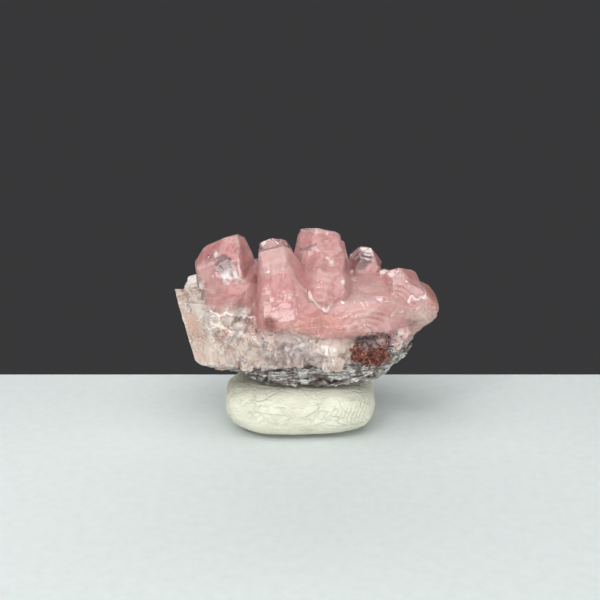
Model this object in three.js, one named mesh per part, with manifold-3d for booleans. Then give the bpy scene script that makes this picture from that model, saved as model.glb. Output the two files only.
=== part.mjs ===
// A cobaltoan calcite cluster on a wad of mounting putty.
// Millimetres, +Z up. The cluster is widest along X and its best face looks towards -Y.
// The origin is the middle of the bounding box, on the surface that the putty stands on.

import * as THREE from 'three';
import { ConvexGeometry } from 'three/addons/geometries/ConvexGeometry.js';
import { mergeVertices } from 'three/addons/utils/BufferGeometryUtils.js';
import Module from 'manifold-3d';

// ---------- driving dimensions ----------

const GAP = 0.3;                // clearance between neighbouring pieces
const WAD_WIDTH = 18.4;         // the putty wad at its widest, along X
const WAD_DEPTH = 14.4;         // and along Y
const WAD_HEIGHT = 5.6;         // height of its pressed top
const WAD_ROUNDING = 1.5;       // how far its top and bottom edges are rounded
const WAD_SQUARENESS = 3;       // 2 would make its outline an oval, and more makes it squarer
const WAD_CENTRE = [-0.95, -1.8]; // a little to the front of the cluster's middle
const CRUST_FLOOR = 5.6;        // underside of the rock crust, in the cluster's own heights
const BODY_HEART = [0, 0, 11.5]; // the massive calcite and the crust are measured from here

// Crystal forms of calcite, as the angle of each face's normal above the crystal's waist.
const RHOMB_FACE = 45.4;        // main rhombohedron
const SIDE_TAPER = 6;           // the sides lean in a little towards the tip

// How far the crystals of one row differ from each other.
const WIDTH_SPREAD = 0.16;      // share of the width, either way
const LENGTH_SPREAD = 0.1;      // share of the length
const RISE_SPREAD = 0.18;       // share of the angle that they rise at
const SIDE_SPREAD = 0.14;       // share of each side's distance from the axis
const TURN_SPREAD = 5;          // degrees of azimuth, either way

// ---------- solids from planes ----------

const wasm = await Module();
wasm.setup();
const { Manifold, Mesh } = wasm;
const UP = new THREE.Vector3(0, 0, 1);
const RADIANS = Math.PI / 180;

function solidFrom(geometry) {
  geometry.deleteAttribute('normal');
  geometry.deleteAttribute('uv');
  const merged = mergeVertices(geometry, 1e-4);
  return new Manifold(new Mesh({
    numProp: 3,
    vertProperties: new Float32Array(merged.attributes.position.array),
    triVerts: new Uint32Array(merged.index.array),
  }));
}

// The outward direction of a face. Azimuth 0 looks to the front (-Y) and 90 to the right (+X).
function direction(azimuth, elevation) {
  const flat = Math.cos(elevation * RADIANS);
  return new THREE.Vector3(
    Math.sin(azimuth * RADIANS) * flat,
    -Math.cos(azimuth * RADIANS) * flat,
    Math.sin(elevation * RADIANS),
  );
}

// The corners of the convex body that lies behind every plane.
function cornersOf(planes) {
  const corners = [];
  const slack = 1e-6;
  const across = (a, b) => new THREE.Vector3().crossVectors(a.normal, b.normal);
  const isCorner = (point) => planes.every(({ normal, reach }) => normal.dot(point) <= reach + slack);
  planes.forEach((a, i) => {
    planes.slice(i + 1).forEach((b, j) => {
      planes.slice(i + j + 2).forEach((c) => {
        const volume = a.normal.dot(across(b, c));
        const corner = across(b, c).multiplyScalar(a.reach)
          .addScaledVector(across(c, a), b.reach)
          .addScaledVector(across(a, b), c.reach)
          .divideScalar(volume);
        if (Math.abs(volume) > slack && isCorner(corner)) {
          corners.push(corner);
        }
      });
    });
  });
  return corners;
}

// A crystal or broken block with its own face list: [azimuth, elevation, distance from the heart].
// `grow` moves every face out, for cutting the pocket that the block sits in.
function facedBlock({ heart, faces }, grow = 0) {
  const planes = faces.map(([azimuth, elevation, distance]) => ({
    normal: direction(azimuth, elevation),
    reach: distance + grow,
  }));
  const geometry = new ConvexGeometry(cornersOf(planes));
  geometry.translate(...heart);
  return solidFrom(geometry);
}

// A crystal by habit: six tapering sides, three cap faces and a blunt root.
// It grows from `root` along the direction `grows`, and `spin` turns it about its own axis.
function habitCrystal({ root, grows, spin, width, length, depth, sides }, grow = 0) {
  const planes = [{ normal: new THREE.Vector3(0, 0, -1), reach: depth + grow }];
  for (let side = 0; side < 6; side += 1) {
    planes.push({
      normal: direction(spin + 60 * side, SIDE_TAPER),
      reach: 0.5 * width * sides[side] + 0.5 * length * Math.sin(SIDE_TAPER * RADIANS) + grow,
    });
  }
  for (let face = 0; face < 3; face += 1) {
    const normal = direction(spin + 120 * face, RHOMB_FACE);
    planes.push({ normal, reach: length * normal.z + grow });
  }
  const geometry = new ConvexGeometry(cornersOf(planes));
  const axis = direction(...grows);
  geometry.applyQuaternion(new THREE.Quaternion().setFromUnitVectors(UP, axis));
  geometry.translate(...root);
  return solidFrom(geometry);
}

function joined(solids) {
  return solids.reduce((sum, solid) => sum.add(solid));
}

// ---------- the large crystals of the best face ----------

const LEADING_CRYSTALS = [
  {
    // the big one at the left, with a broad sloping top
    heart: [-9.9, -0.8, 18.6],
    faces: [
      [276, -8, 3.4], [325, 4, 2.9], [2, 6, 2.75], [62, 10, 3.2], [120, 8, 3.4], [185, 5, 3.2],
      [235, -2, 3.2], [336, 59, 2.8], [78, 36, 3.5], [294, 50, 2.5], [205, 60, 3.2], [0, -90, 6],
    ],
  },
  {
    // the small one behind, between the first and the tallest
    heart: [-3.9, 2.8, 18.4],
    faces: [
      [285, 4, 2.0], [345, 3, 2.0], [50, 3, 1.9], [110, 3, 1.9], [180, 3, 2.2], [240, 3, 2.0],
      [345, 55, 2.6], [75, 60, 2.3], [200, 58, 2.5], [290, 58, 2.75], [0, -90, 5],
    ],
  },
  {
    // the front one, with a flat lighter facet under its top
    heart: [-3.5, -4.6, 17.4],
    faces: [
      [282, 6, 2.35], [356, 12, 2.35], [35, 14, 3.0], [75, 30, 2.9], [180, 0, 3.0], [240, 0, 2.6],
      [342, 48, 3.15], [200, 50, 4.0], [120, 40, 4.1], [326, -48, 5.6], [12, -58, 6.0], [0, -90, 5.2],
    ],
  },
  {
    // the tallest, in the middle
    heart: [1.6, 0.6, 18.8],
    faces: [
      [285, 14, 3.2], [345, 8, 3.2], [38, 8, 3.4], [90, 14, 2.9], [150, 5, 3.2], [235, 5, 3.2],
      [10, 56, 3.45], [308, 50, 3.55], [70, 44, 3.8], [158, 58, 3.5], [0, -90, 7],
    ],
  },
  {
    // the swelling front of the tallest one, which ends in a point below
    heart: [1.9, -2.9, 17.2],
    faces: [
      [350, 34, 2.9], [28, 24, 3.0], [312, 22, 2.8], [285, 5, 2.9], [80, 12, 2.7], [8, 62, 2.6],
      [350, 4, 4.2], [318, -38, 3.3], [36, -40, 3.2], [290, 52, 2.6], [180, 0, 3], [0, -90, 4],
    ],
  },
  {
    // the small clear one at the right
    heart: [7.1, 2.0, 18.0],
    faces: [
      [0, 15, 1.7], [85, 34, 1.4], [80, -24, 1.5], [35, 74, 1.35], [285, 46, 1.6], [280, 12, 1.7],
      [330, -20, 2.2], [30, -30, 2.0], [180, 20, 2.4], [180, -40, 3],
    ],
  },
  {
    // the one at the right with curved growth steps
    heart: [11.4, -2.0, 15.6],
    faces: [
      [285, 12, 2.5], [345, 14, 2.7], [30, 14, 2.7], [92, 20, 2.2], [180, 0, 2.8], [240, 0, 2.6],
      [340, 52, 3.05], [76, 56, 2.2], [290, 56, 3.1], [200, 58, 3.1], [0, -90, 2.4],
    ],
  },
  {
    // the pale one at the right end
    heart: [13.0, -1.8, 13.8],
    faces: [
      [300, 8, 2.4], [345, 10, 2.7], [30, 6, 2.6], [90, 0, 2.4], [150, 0, 2.6], [240, 0, 2.4],
      [340, 52, 2.7], [80, 45, 2.4], [200, 52, 2.8], [90, -41, 1.7], [30, -45, 2.6], [0, -90, 3],
    ],
  },
  {
    // the broad shoulder between the tallest and the stepped one
    heart: [6.2, -1.4, 14.4],
    faces: [
      [334, 50, 2.8], [20, 36, 2.8], [350, 12, 4.2], [34, 8, 4.6], [90, 20, 4.6], [270, 10, 4.4],
      [180, 0, 3.0], [350, 78, 2.75], [0, -90, 4],
    ],
  },
  {
    // the ledges of the belt under them
    heart: [5.2, -3.6, 14.0],
    faces: [
      [352, 36, 3.4], [18, 30, 3.6], [44, 24, 4.3], [322, 28, 4.2], [64, 20, 5.0], [270, 0, 5.6],
      [352, 66, 1.95], [4, 4, 3.9], [180, 0, 3.0], [0, -90, 1.8],
    ],
  },
  {
    heart: [5.0, -4.2, 12.9],
    faces: [
      [356, 22, 3.7], [20, 18, 3.7], [42, 12, 4.3], [66, 10, 5.0], [326, 18, 4.8], [270, 0, 6.6],
      [0, 64, 2.7], [2, -4, 3.7], [10, -46, 2.9], [180, 0, 3.0], [0, -90, 1.3],
    ],
  },
  {
    heart: [-1.4, -4.3, 13.2],
    faces: [
      [352, 16, 3.5], [318, 12, 4.2], [20, 14, 3.8], [44, 20, 4.4], [350, 62, 3.0], [80, 20, 4.8],
      [280, 6, 4.2], [180, 0, 3.0], [350, -42, 2.9], [14, -46, 3.1], [0, -90, 1.6],
    ],
  },
  {
    // the foot of the big one at the left
    heart: [-8.4, -2.8, 14.8],
    faces: [
      [352, 24, 3.3], [316, 34, 3.0], [36, 20, 3.2], [75, 12, 2.9], [285, 20, 3.4], [180, 0, 3.0],
      [350, 66, 3.0], [0, -90, 1.0],
    ],
  },
];

// ---------- the smaller crystals ----------

// Rows of crystals. Each row runs from one root to another, bowing outwards in the middle, while
// the way its crystals grow turns from one azimuth to the next. `depth` is how far a crystal
// reaches back past its root.
const ROWS = [
  // round the back
  {
    count: 5, from: [-9.6, 2.2, 12.6], to: [4.2, 2.6, 12.2], bow: 1.1, turn: [214, 166], rise: 56,
    width: 5.0, length: 6.2, depth: 3, seed: 11,
  },
  {
    count: 6, from: [-11.2, 2.0, 11.8], to: [10.2, 2.0, 11.8], bow: 1.5, turn: [234, 126], rise: 26,
    width: 5.0, length: 5.8, depth: 3, seed: 29,
  },
  {
    count: 5, from: [-8.4, 2.8, 10.6], to: [7.8, 2.8, 10.8], bow: 1.2, turn: [212, 148], rise: 6,
    width: 4.0, length: 4.6, depth: 3, seed: 71,
  },
  // at the two ends
  {
    count: 2, from: [10.6, 1.6, 12.2], to: [8.6, 2.8, 12.8], bow: 0, turn: [92, 134], rise: 50,
    width: 4.0, length: 4.2, depth: 3, seed: 5,
  },
  {
    count: 2, from: [-11.2, 0.8, 13.2], to: [-9.4, 2.6, 12.8], bow: 0, turn: [262, 226], rise: 50,
    width: 4.4, length: 4.8, depth: 3, seed: 17,
  },
];

// A small repeatable stream of values from 0 to 1.
function randomStream(seed) {
  const multiplier = 16807;
  const modulus = 2147483647;
  let state = seed;
  return () => {
    state = (state * multiplier) % modulus;
    return state / modulus;
  };
}

function rowOfCrystals({ count, from, to, bow, turn, rise, width, length, depth, seed }, grow) {
  const random = randomStream(seed);
  const eitherWay = (spread) => spread * (2 * random() - 1);
  const vary = (spread) => 1 + eitherWay(spread);
  const start = new THREE.Vector3(...from);
  const end = new THREE.Vector3(...to);
  const outward = Math.sign(start.y) * bow;
  return Array.from({ length: count }, (_, index) => {
    const along = index / (count - 1);
    const root = start.clone().lerp(end, along);
    root.y += outward * 4 * along * (1 - along);
    return habitCrystal({
      root: root.toArray(),
      grows: [azimuthAlong(turn, along) + eitherWay(TURN_SPREAD), rise * vary(RISE_SPREAD)],
      spin: 60 * random(),
      width: width * vary(WIDTH_SPREAD),
      length: length * vary(LENGTH_SPREAD),
      depth,
      sides: Array.from({ length: 6 }, () => vary(SIDE_SPREAD)),
    }, grow);
  });
}

// The azimuth a share of the way from one to another, going the short way round the circle.
function azimuthAlong([first, last], along) {
  const shortWay = THREE.MathUtils.euclideanModulo(last - first + 180, 360) - 180;
  return first + shortWay * along;
}

// ---------- the calcite ----------

// The massive calcite that the crystals grew on, broken and cleaved to flat faces all round.
const MASSIVE_CALCITE = {
  heart: BODY_HEART,
  faces: [
    [0, 6, 7.4], [0, -24, 7.4], [352, 36, 6.9], [18, -10, 8.0], [40, -18, 10.2], [62, -30, 10.8],
    [88, -41, 10.5], [85, 8, 14.0], [120, -25, 12.0], [150, -15, 9.6], [180, -6, 8.2],
    [180, -28, 7.6], [180, 38, 8.4], [210, -14, 10.0], [240, -10, 12.0], [268, -14, 13.2],
    [290, -20, 12.6], [322, -18, 10.2], [345, -14, 8.6], [270, -60, 8.6], [90, -78, 4.9],
    [0, -62, 6.8], [180, -62, 6.6], [80, 60, 9.4], [280, 70, 6.2], [0, 90, 4.6], [0, -90, 3.9],
  ],
};

// The cleaved block that forms the lower left corner, and the two thin plates left on its top.
const CLEAVED_CORNER = [
  {
    heart: [-11.8, -2.6, 11.4],
    faces: [
      [267, -13, 1.95], [328, -10, 3.4], [356, -14, 4.3], [70, -10, 4.2], [180, 0, 4],
      [290, 82, 4.9], [270, -58, 3.3], [350, -60, 4.4], [0, -90, 4.2],
    ],
  },
  {
    heart: [-13.1, -3.0, 15.3],
    faces: [
      [267, -13, 1.73], [335, -5, 2.3], [90, 0, 1.0], [180, 0, 2.4], [180, 72, 1.2], [0, -90, 1.4],
    ],
  },
  {
    heart: [-12.9, -0.8, 16.2],
    faces: [
      [262, -20, 1.3], [330, 10, 1.5], [90, 0, 1.6], [180, 0, 1.6], [305, 68, 0.9], [0, -90, 1.4],
    ],
  },
];

// Broken blocks that stand out from the massive calcite on the best face.
const BROKEN_BLOCKS = [
  {
    heart: [-9.2, -4.2, 12.0],
    faces: [
      [338, -4, 3.1], [12, -14, 3.2], [296, -4, 2.2], [58, -14, 2.8], [340, 44, 3.4], [30, 56, 3.2],
      [350, -48, 4.3], [180, 0, 2], [0, -90, 4.6],
    ],
  },
  {
    heart: [-6.4, -4.4, 10.4],
    faces: [
      [340, -2, 3.1], [18, -12, 3.0], [292, -8, 2.4], [344, 46, 3.7], [30, 50, 3.4], [66, -10, 2.0],
      [356, -44, 4.0], [180, 0, 2], [0, -90, 2.5],
    ],
  },
  {
    heart: [2.5, -5.2, 9.8],
    faces: [
      [346, -2, 2.5], [20, -10, 2.4], [300, -4, 2.0], [352, 48, 2.7], [78, -10, 2.0], [270, -6, 2.1],
      [0, -46, 2.9], [180, 0, 2], [0, -90, 1.9],
    ],
  },
  {
    heart: [10.2, -3.4, 11.0],
    faces: [
      [4, 4, 2.5], [38, -16, 2.3], [330, 4, 2.5], [16, 50, 2.5], [82, -38, 1.1], [280, 0, 2.0],
      [10, -50, 2.2], [180, 0, 2], [0, -90, 1.8],
    ],
  },
  {
    heart: [-1.9, -4.8, 9.6],
    faces: [
      [344, -6, 2.9], [16, -10, 2.7], [300, -6, 1.9], [350, 50, 3.0], [64, -8, 2.2], [0, -44, 3.2],
      [180, 0, 2], [0, -90, 1.7],
    ],
  },
];

// The iron oxide nodule, set in a pocket of the front face.
const OXIDE_NODULE = {
  heart: [6.9, -7.3, 10.1],
  faces: [
    [5, 4, 0.9], [340, -30, 1.1], [90, 20, 2.1], [270, -10, 2.0], [0, 85, 1.2], [300, 50, 1.6],
    [60, 60, 1.8], [0, -85, 1.3], [60, -40, 1.8], [290, -50, 1.7], [180, 0, 0.8],
  ],
};

// All the calcite, joined. `grow` moves every face out, for cutting what lies against it.
function calcite(grow = 0) {
  const blocks = [MASSIVE_CALCITE, ...CLEAVED_CORNER, ...BROKEN_BLOCKS, ...LEADING_CRYSTALS];
  return joined([
    ...blocks.map((block) => facedBlock(block, grow)),
    ...ROWS.flatMap((row) => rowOfCrystals(row, grow)),
  ]);
}

// ---------- the rock crust and the putty ----------

// The host rock left on the underside. It climbs the right side as a slanting slab.
const ROCK_CRUST = {
  heart: BODY_HEART,
  faces: [
    [0, -20, 7.9], [35, -24, 9.6], [88, -41, 10.9], [135, -24, 9.4], [180, -20, 7.6],
    [225, -34, 9.3], [270, -47, 9.4], [315, -34, 9.5], [0, -90, 5.9], [270, 84, -3.2],
  ],
};

function rockCrust() {
  return facedBlock(ROCK_CRUST).subtract(calcite(GAP)).subtract(facedBlock(OXIDE_NODULE, GAP));
}

// A wad of putty pressed flat: a squarish oval with rounded edges.
function puttyWad() {
  const steps = 48;
  const halfWidth = 0.5 * WAD_WIDTH - WAD_ROUNDING;
  const halfDepth = 0.5 * WAD_DEPTH - WAD_ROUNDING;
  const squared = (value) => Math.sign(value) * Math.abs(value) ** (2 / WAD_SQUARENESS);
  const outline = Array.from({ length: steps }, (_, step) => {
    const angle = (2 * Math.PI * step) / steps;
    return new THREE.Vector2(halfWidth * squared(Math.cos(angle)), halfDepth * squared(Math.sin(angle)));
  });
  const geometry = new THREE.ExtrudeGeometry(new THREE.Shape(outline), {
    depth: WAD_HEIGHT - 2 * WAD_ROUNDING,
    bevelThickness: WAD_ROUNDING,
    bevelSize: WAD_ROUNDING,
    bevelSegments: 5,
  });
  geometry.translate(...WAD_CENTRE, WAD_ROUNDING);
  return solidFrom(geometry);
}

// ---------- nodes ----------

function meshOf(name, solid, { color, roughness, metalness = 0 }) {
  const { numProp, vertProperties, triVerts } = solid.getMesh();
  const positions = new THREE.BufferAttribute(new Float32Array(vertProperties), numProp);
  const geometry = new THREE.BufferGeometry();
  geometry.setAttribute('position', positions);
  geometry.setIndex(new THREE.BufferAttribute(new Uint32Array(triVerts), 1));
  geometry.computeVertexNormals();
  const material = new THREE.MeshStandardMaterial({ color, roughness, metalness });
  const mesh = new THREE.Mesh(geometry, material);
  mesh.name = name;
  return mesh;
}

const calciteWithPocket = calcite().subtract(facedBlock(OXIDE_NODULE, GAP));

const specimen = new THREE.Group();
specimen.position.z = WAD_HEIGHT + GAP - CRUST_FLOOR;
specimen.add(
  meshOf('calcite', calciteWithPocket, { color: 0xd99a98, roughness: 0.2 }),
  meshOf('oxide_nodule', facedBlock(OXIDE_NODULE), { color: 0x6e2a1c, roughness: 0.85 }),
  meshOf('rock_crust', rockCrust(), { color: 0x9c9a94, roughness: 0.9 }),
);

const cluster = new THREE.Group();
cluster.add(specimen, meshOf('putty_wad', puttyWad(), { color: 0xdedcc6, roughness: 0.6 }));

export default cluster;
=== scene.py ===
"""A cobaltoan calcite cluster on a wad of mounting putty.

Shapes are worked out in millimetres, in the frame's axes, and become metres when a mesh is made.
"""
import math

import bpy
import numpy as np
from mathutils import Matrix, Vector


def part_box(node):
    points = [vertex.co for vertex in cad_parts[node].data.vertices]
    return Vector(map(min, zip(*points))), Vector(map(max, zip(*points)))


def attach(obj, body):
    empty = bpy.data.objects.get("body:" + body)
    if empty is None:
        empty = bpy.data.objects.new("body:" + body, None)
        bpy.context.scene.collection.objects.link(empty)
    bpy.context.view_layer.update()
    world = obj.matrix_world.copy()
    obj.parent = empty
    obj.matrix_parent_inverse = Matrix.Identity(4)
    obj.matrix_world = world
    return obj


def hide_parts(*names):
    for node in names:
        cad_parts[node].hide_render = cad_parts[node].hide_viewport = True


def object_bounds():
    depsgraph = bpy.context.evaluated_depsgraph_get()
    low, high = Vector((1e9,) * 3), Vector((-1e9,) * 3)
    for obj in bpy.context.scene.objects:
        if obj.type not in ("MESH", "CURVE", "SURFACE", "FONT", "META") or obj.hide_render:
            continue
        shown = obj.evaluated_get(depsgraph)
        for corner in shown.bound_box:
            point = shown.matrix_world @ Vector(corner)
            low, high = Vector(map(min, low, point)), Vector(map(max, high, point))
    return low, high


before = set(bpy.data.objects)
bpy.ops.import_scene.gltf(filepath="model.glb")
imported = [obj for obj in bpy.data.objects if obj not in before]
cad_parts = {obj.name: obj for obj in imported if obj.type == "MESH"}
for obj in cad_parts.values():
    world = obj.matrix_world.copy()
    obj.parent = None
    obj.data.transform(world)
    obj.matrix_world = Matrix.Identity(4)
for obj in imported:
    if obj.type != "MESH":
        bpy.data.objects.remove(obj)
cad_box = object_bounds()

MM = 0.001

# ---------- driving sizes, in millimetres ----------

CRUST_FLOOR = 5.6       # underside of the crust in the cluster's own heights
BODY_HEART = (0.0, 0.0, 11.5)
RHOMB_FACE = 45.4       # angle of the main rhombohedron's faces above a crystal's waist, in degrees
SIDE_TAPER = 6.0        # the sides lean in a little towards the tip, in degrees
CRYSTAL_CELL = 0.115    # spacing of the net that the crystals' mesh is made on
CLOUD_CELL = 0.14       # and of the nets for the clouds inside them, the crust and the nodule
CRUST_CELL = 0.12
NODULE_CELL = 0.08
EDGE_ROUNDING = (0.02, 0.05)  # softening of a crystal's edges at its tip and at its foot
EDGE_REACH = 0.08       # how far the painted highlight along an edge reaches
FAN_HEART = (-9.6, 15.4)  # the (x, z) place that the crests of the broken part spread from
RIB_SPACING = 1.15      # spacing of the upright ribs on the broken part
FINGER_RIDGE = 0.48     # spacing of the finger marks' ridges
MOST_TRIANGLES = 195000
BOX_MARGIN = 0.005      # how far the meshes stay inside the solids' own box

# The specimen stands this much higher in the frame than in its own heights.
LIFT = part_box("rock_crust")[0].z / MM - CRUST_FLOOR


# ---------- blocks bounded by planes ----------

def direction(azimuth, elevation):
    """Azimuth 0 looks to the front (-Y) and 90 to the right (+X)."""
    a, e = math.radians(azimuth), math.radians(elevation)
    return np.array([math.sin(a) * math.cos(e), -math.cos(a) * math.cos(e), math.sin(e)])


class Block:
    """The convex body behind a set of planes, each a distance from the heart."""

    def __init__(self, heart, normals, reaches, rounding=EDGE_ROUNDING):
        self.rounding = rounding
        self.heart = np.array(heart, float)
        self.normals = np.array(normals, float)
        self.reaches = np.array(reaches, float)
        corners = self.corners()
        self.empty = len(corners) < 4
        if not self.empty:
            self.low = corners.min(0)
            self.high = corners.max(0)
            self.size = float((self.high - self.low).max())

    def corners(self):
        n = len(self.reaches)
        i, j, k = (index.ravel() for index in np.meshgrid(*[np.arange(n)] * 3, indexing="ij"))
        keep = (i < j) & (j < k)
        triples = self.normals[np.stack([i[keep], j[keep], k[keep]], 1)]
        reach = self.reaches[np.stack([i[keep], j[keep], k[keep]], 1)]
        solvable = np.abs(np.linalg.det(triples)) > 1e-6
        points = np.linalg.solve(triples[solvable], reach[solvable][..., None])[..., 0]
        inside = (points @ self.normals.T <= self.reaches + 1e-6).all(1)
        return points[inside] + self.heart

    def moved(self, changes):
        """A copy whose faces are moved out by `changes`, one number or one for each face."""
        return Block(self.heart, self.normals, self.reaches + changes, self.rounding)

    def with_face(self, normal, reach):
        normals = np.vstack([self.normals, normal])
        return Block(self.heart, normals, np.append(self.reaches, reach), self.rounding)

    def softness(self, points):
        """How far the edges are rounded at each point's height."""
        share = np.clip((self.high[2] - points[:, 2]) / (self.high[2] - self.low[2]), 0, 1)
        return self.rounding[0] + (self.rounding[1] - self.rounding[0]) * share

    def value(self, points, least=0.0):
        """Distance outside the block, and each face's share in it."""
        rounding = np.maximum(self.softness(points), least)
        over = (points - self.heart) @ self.normals.T - self.reaches
        most = over.max(1)
        share = np.exp((over - most[:, None]) / rounding[:, None])
        total = share.sum(1)
        return most + rounding * np.log(total), share / total[:, None]


def faced_block(heart, faces, rounding=EDGE_ROUNDING):
    return Block(heart, [direction(a, e) for a, e, _ in faces], [d for _, _, d in faces], rounding)


# ---------- the large crystals of the best face: [azimuth, elevation, distance] of each face ----------

LEADING_CRYSTALS = {
    # the big one at the left, with a broad sloping top
    "left": ((-9.9, -0.8, 18.6), [
        (276, -8, 3.4), (325, 4, 2.9), (2, 6, 2.75), (62, 10, 3.2), (120, 8, 3.4), (185, 5, 3.2),
        (235, -2, 3.2), (336, 59, 2.8), (78, 36, 3.5), (294, 50, 2.5), (205, 60, 3.2), (0, -90, 6),
    ]),
    # the small one behind, between the first and the tallest
    "behind": ((-3.9, 2.8, 18.4), [
        (285, 4, 2.0), (345, 3, 2.0), (50, 3, 1.9), (110, 3, 1.9), (180, 3, 2.2), (240, 3, 2.0),
        (345, 55, 2.6), (75, 60, 2.3), (200, 58, 2.5), (290, 58, 2.75), (0, -90, 5),
    ]),
    # the front one, with a flat lighter facet under its top
    "front": ((-3.5, -4.6, 17.4), [
        (282, 6, 2.35), (356, 12, 2.35), (35, 14, 3.0), (75, 30, 2.9), (180, 0, 3.0), (240, 0, 2.6),
        (342, 48, 3.15), (200, 50, 4.0), (120, 40, 4.1), (326, -48, 5.6), (12, -58, 6.0), (0, -90, 5.2),
    ]),
    # the tallest, in the middle
    "tallest": ((1.6, 0.6, 18.8), [
        (285, 14, 3.2), (345, 8, 3.2), (38, 8, 3.4), (90, 14, 2.9), (150, 5, 3.2), (235, 5, 3.2),
        (10, 56, 3.45), (308, 50, 3.55), (70, 44, 3.8), (158, 58, 3.5), (0, -90, 7),
    ]),
    # the swelling front of the tallest one, which ends in a point below
    "swelling": ((1.9, -2.9, 17.2), [
        (350, 34, 2.9), (28, 24, 3.0), (312, 22, 2.8), (285, 5, 2.9), (80, 12, 2.7), (8, 62, 2.6),
        (350, 4, 4.2), (318, -38, 3.3), (36, -40, 3.2), (290, 52, 2.6), (180, 0, 3), (0, -90, 4),
    ]),
    # the small clear one at the right
    "clear": ((7.1, 2.0, 18.0), [
        (0, 15, 1.7), (85, 34, 1.4), (80, -24, 1.5), (35, 74, 1.35), (285, 46, 1.6), (280, 12, 1.7),
        (330, -20, 2.2), (30, -30, 2.0), (180, 20, 2.4), (180, -40, 3),
    ]),
    # the one at the right with curved growth steps
    "stepped": ((11.4, -2.0, 15.6), [
        (285, 12, 2.5), (345, 14, 2.7), (30, 14, 2.7), (92, 20, 2.2), (180, 0, 2.8), (240, 0, 2.6),
        (340, 52, 3.05), (76, 56, 2.2), (290, 56, 3.1), (200, 58, 3.1), (0, -90, 2.4),
    ]),
    # the pale one at the right end
    "pale": ((13.0, -1.8, 13.8), [
        (300, 8, 2.4), (345, 10, 2.7), (30, 6, 2.6), (90, 0, 2.4), (150, 0, 2.6), (240, 0, 2.4),
        (340, 52, 2.7), (80, 45, 2.4), (200, 52, 2.8), (90, -41, 1.7), (30, -45, 2.6), (0, -90, 3),
    ]),
    # the broad shoulder between the tallest and the stepped one
    "saddle": ((6.2, -1.4, 14.4), [
        (334, 50, 2.8), (20, 36, 2.8), (350, 12, 4.2), (34, 8, 4.6), (90, 20, 4.6), (270, 10, 4.4),
        (180, 0, 3.0), (350, 78, 2.75), (0, -90, 4),
    ]),
    # the ledges of the belt under them
    "upper_ledge": ((5.2, -3.6, 14.0), [
        (352, 36, 3.4), (18, 30, 3.6), (44, 24, 4.3), (322, 28, 4.2), (64, 20, 5.0), (270, 0, 5.6),
        (352, 66, 1.95), (4, 4, 3.9), (180, 0, 3.0), (0, -90, 1.8),
    ]),
    "lower_ledge": ((5.0, -4.2, 12.9), [
        (356, 22, 3.7), (20, 18, 3.7), (42, 12, 4.3), (66, 10, 5.0), (326, 18, 4.8), (270, 0, 6.6),
        (0, 64, 2.7), (2, -4, 3.7), (10, -46, 2.9), (180, 0, 3.0), (0, -90, 1.3),
    ]),
    "front_foot": ((-1.4, -4.3, 13.2), [
        (352, 16, 3.5), (318, 12, 4.2), (20, 14, 3.8), (44, 20, 4.4), (350, 62, 3.0), (80, 20, 4.8),
        (280, 6, 4.2), (180, 0, 3.0), (350, -42, 2.9), (14, -46, 3.1), (0, -90, 1.6),
    ]),
    # the foot of the big one at the left
    "left_foot": ((-8.4, -2.8, 14.8), [
        (352, 24, 3.3), (316, 34, 3.0), (36, 20, 3.2), (75, 12, 2.9), (285, 20, 3.4), (180, 0, 3.0),
        (350, 66, 3.0), (0, -90, 1.0),
    ]),
}

# The crystals that melt into the belt, and how far their edges are rounded at the tip and at the foot.
ROUNDED = {
    "left": (0.02, 0.30), "front": (0.02, 0.50), "tallest": (0.02, 0.15), "swelling": (0.06, 0.25),
    "stepped": (0.03, 0.20), "pale": (0.06, 0.25), "saddle": (0.25, 0.25), "upper_ledge": (0.25, 0.25),
    "lower_ledge": (0.25, 0.30), "front_foot": (0.25, 0.30), "left_foot": (0.20, 0.25),
}

# ---------- the smaller crystals, in rows from one root to another ----------

ROWS = [
    # round the back
    dict(count=5, start=(-9.6, 2.2, 12.6), end=(4.2, 2.6, 12.2), bow=1.1, turn=(214, 166), rise=56,
         width=5.0, length=6.2, depth=3, seed=11),
    dict(count=6, start=(-11.2, 2.0, 11.8), end=(10.2, 2.0, 11.8), bow=1.5, turn=(234, 126), rise=26,
         width=5.0, length=5.8, depth=3, seed=29),
    dict(count=5, start=(-8.4, 2.8, 10.6), end=(7.8, 2.8, 10.8), bow=1.2, turn=(212, 148), rise=6,
         width=4.0, length=4.6, depth=3, seed=71),
    # at the two ends
    dict(count=2, start=(10.6, 1.6, 12.2), end=(8.6, 2.8, 12.8), bow=0, turn=(92, 134), rise=50,
         width=4.0, length=4.2, depth=3, seed=5),
    dict(count=2, start=(-11.2, 0.8, 13.2), end=(-9.4, 2.6, 12.8), bow=0, turn=(262, 226), rise=50,
         width=4.4, length=4.8, depth=3, seed=17),
]


def random_stream(seed):
    state = seed
    while True:
        state = (state * 16807) % 2147483647
        yield state / 2147483647


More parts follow.
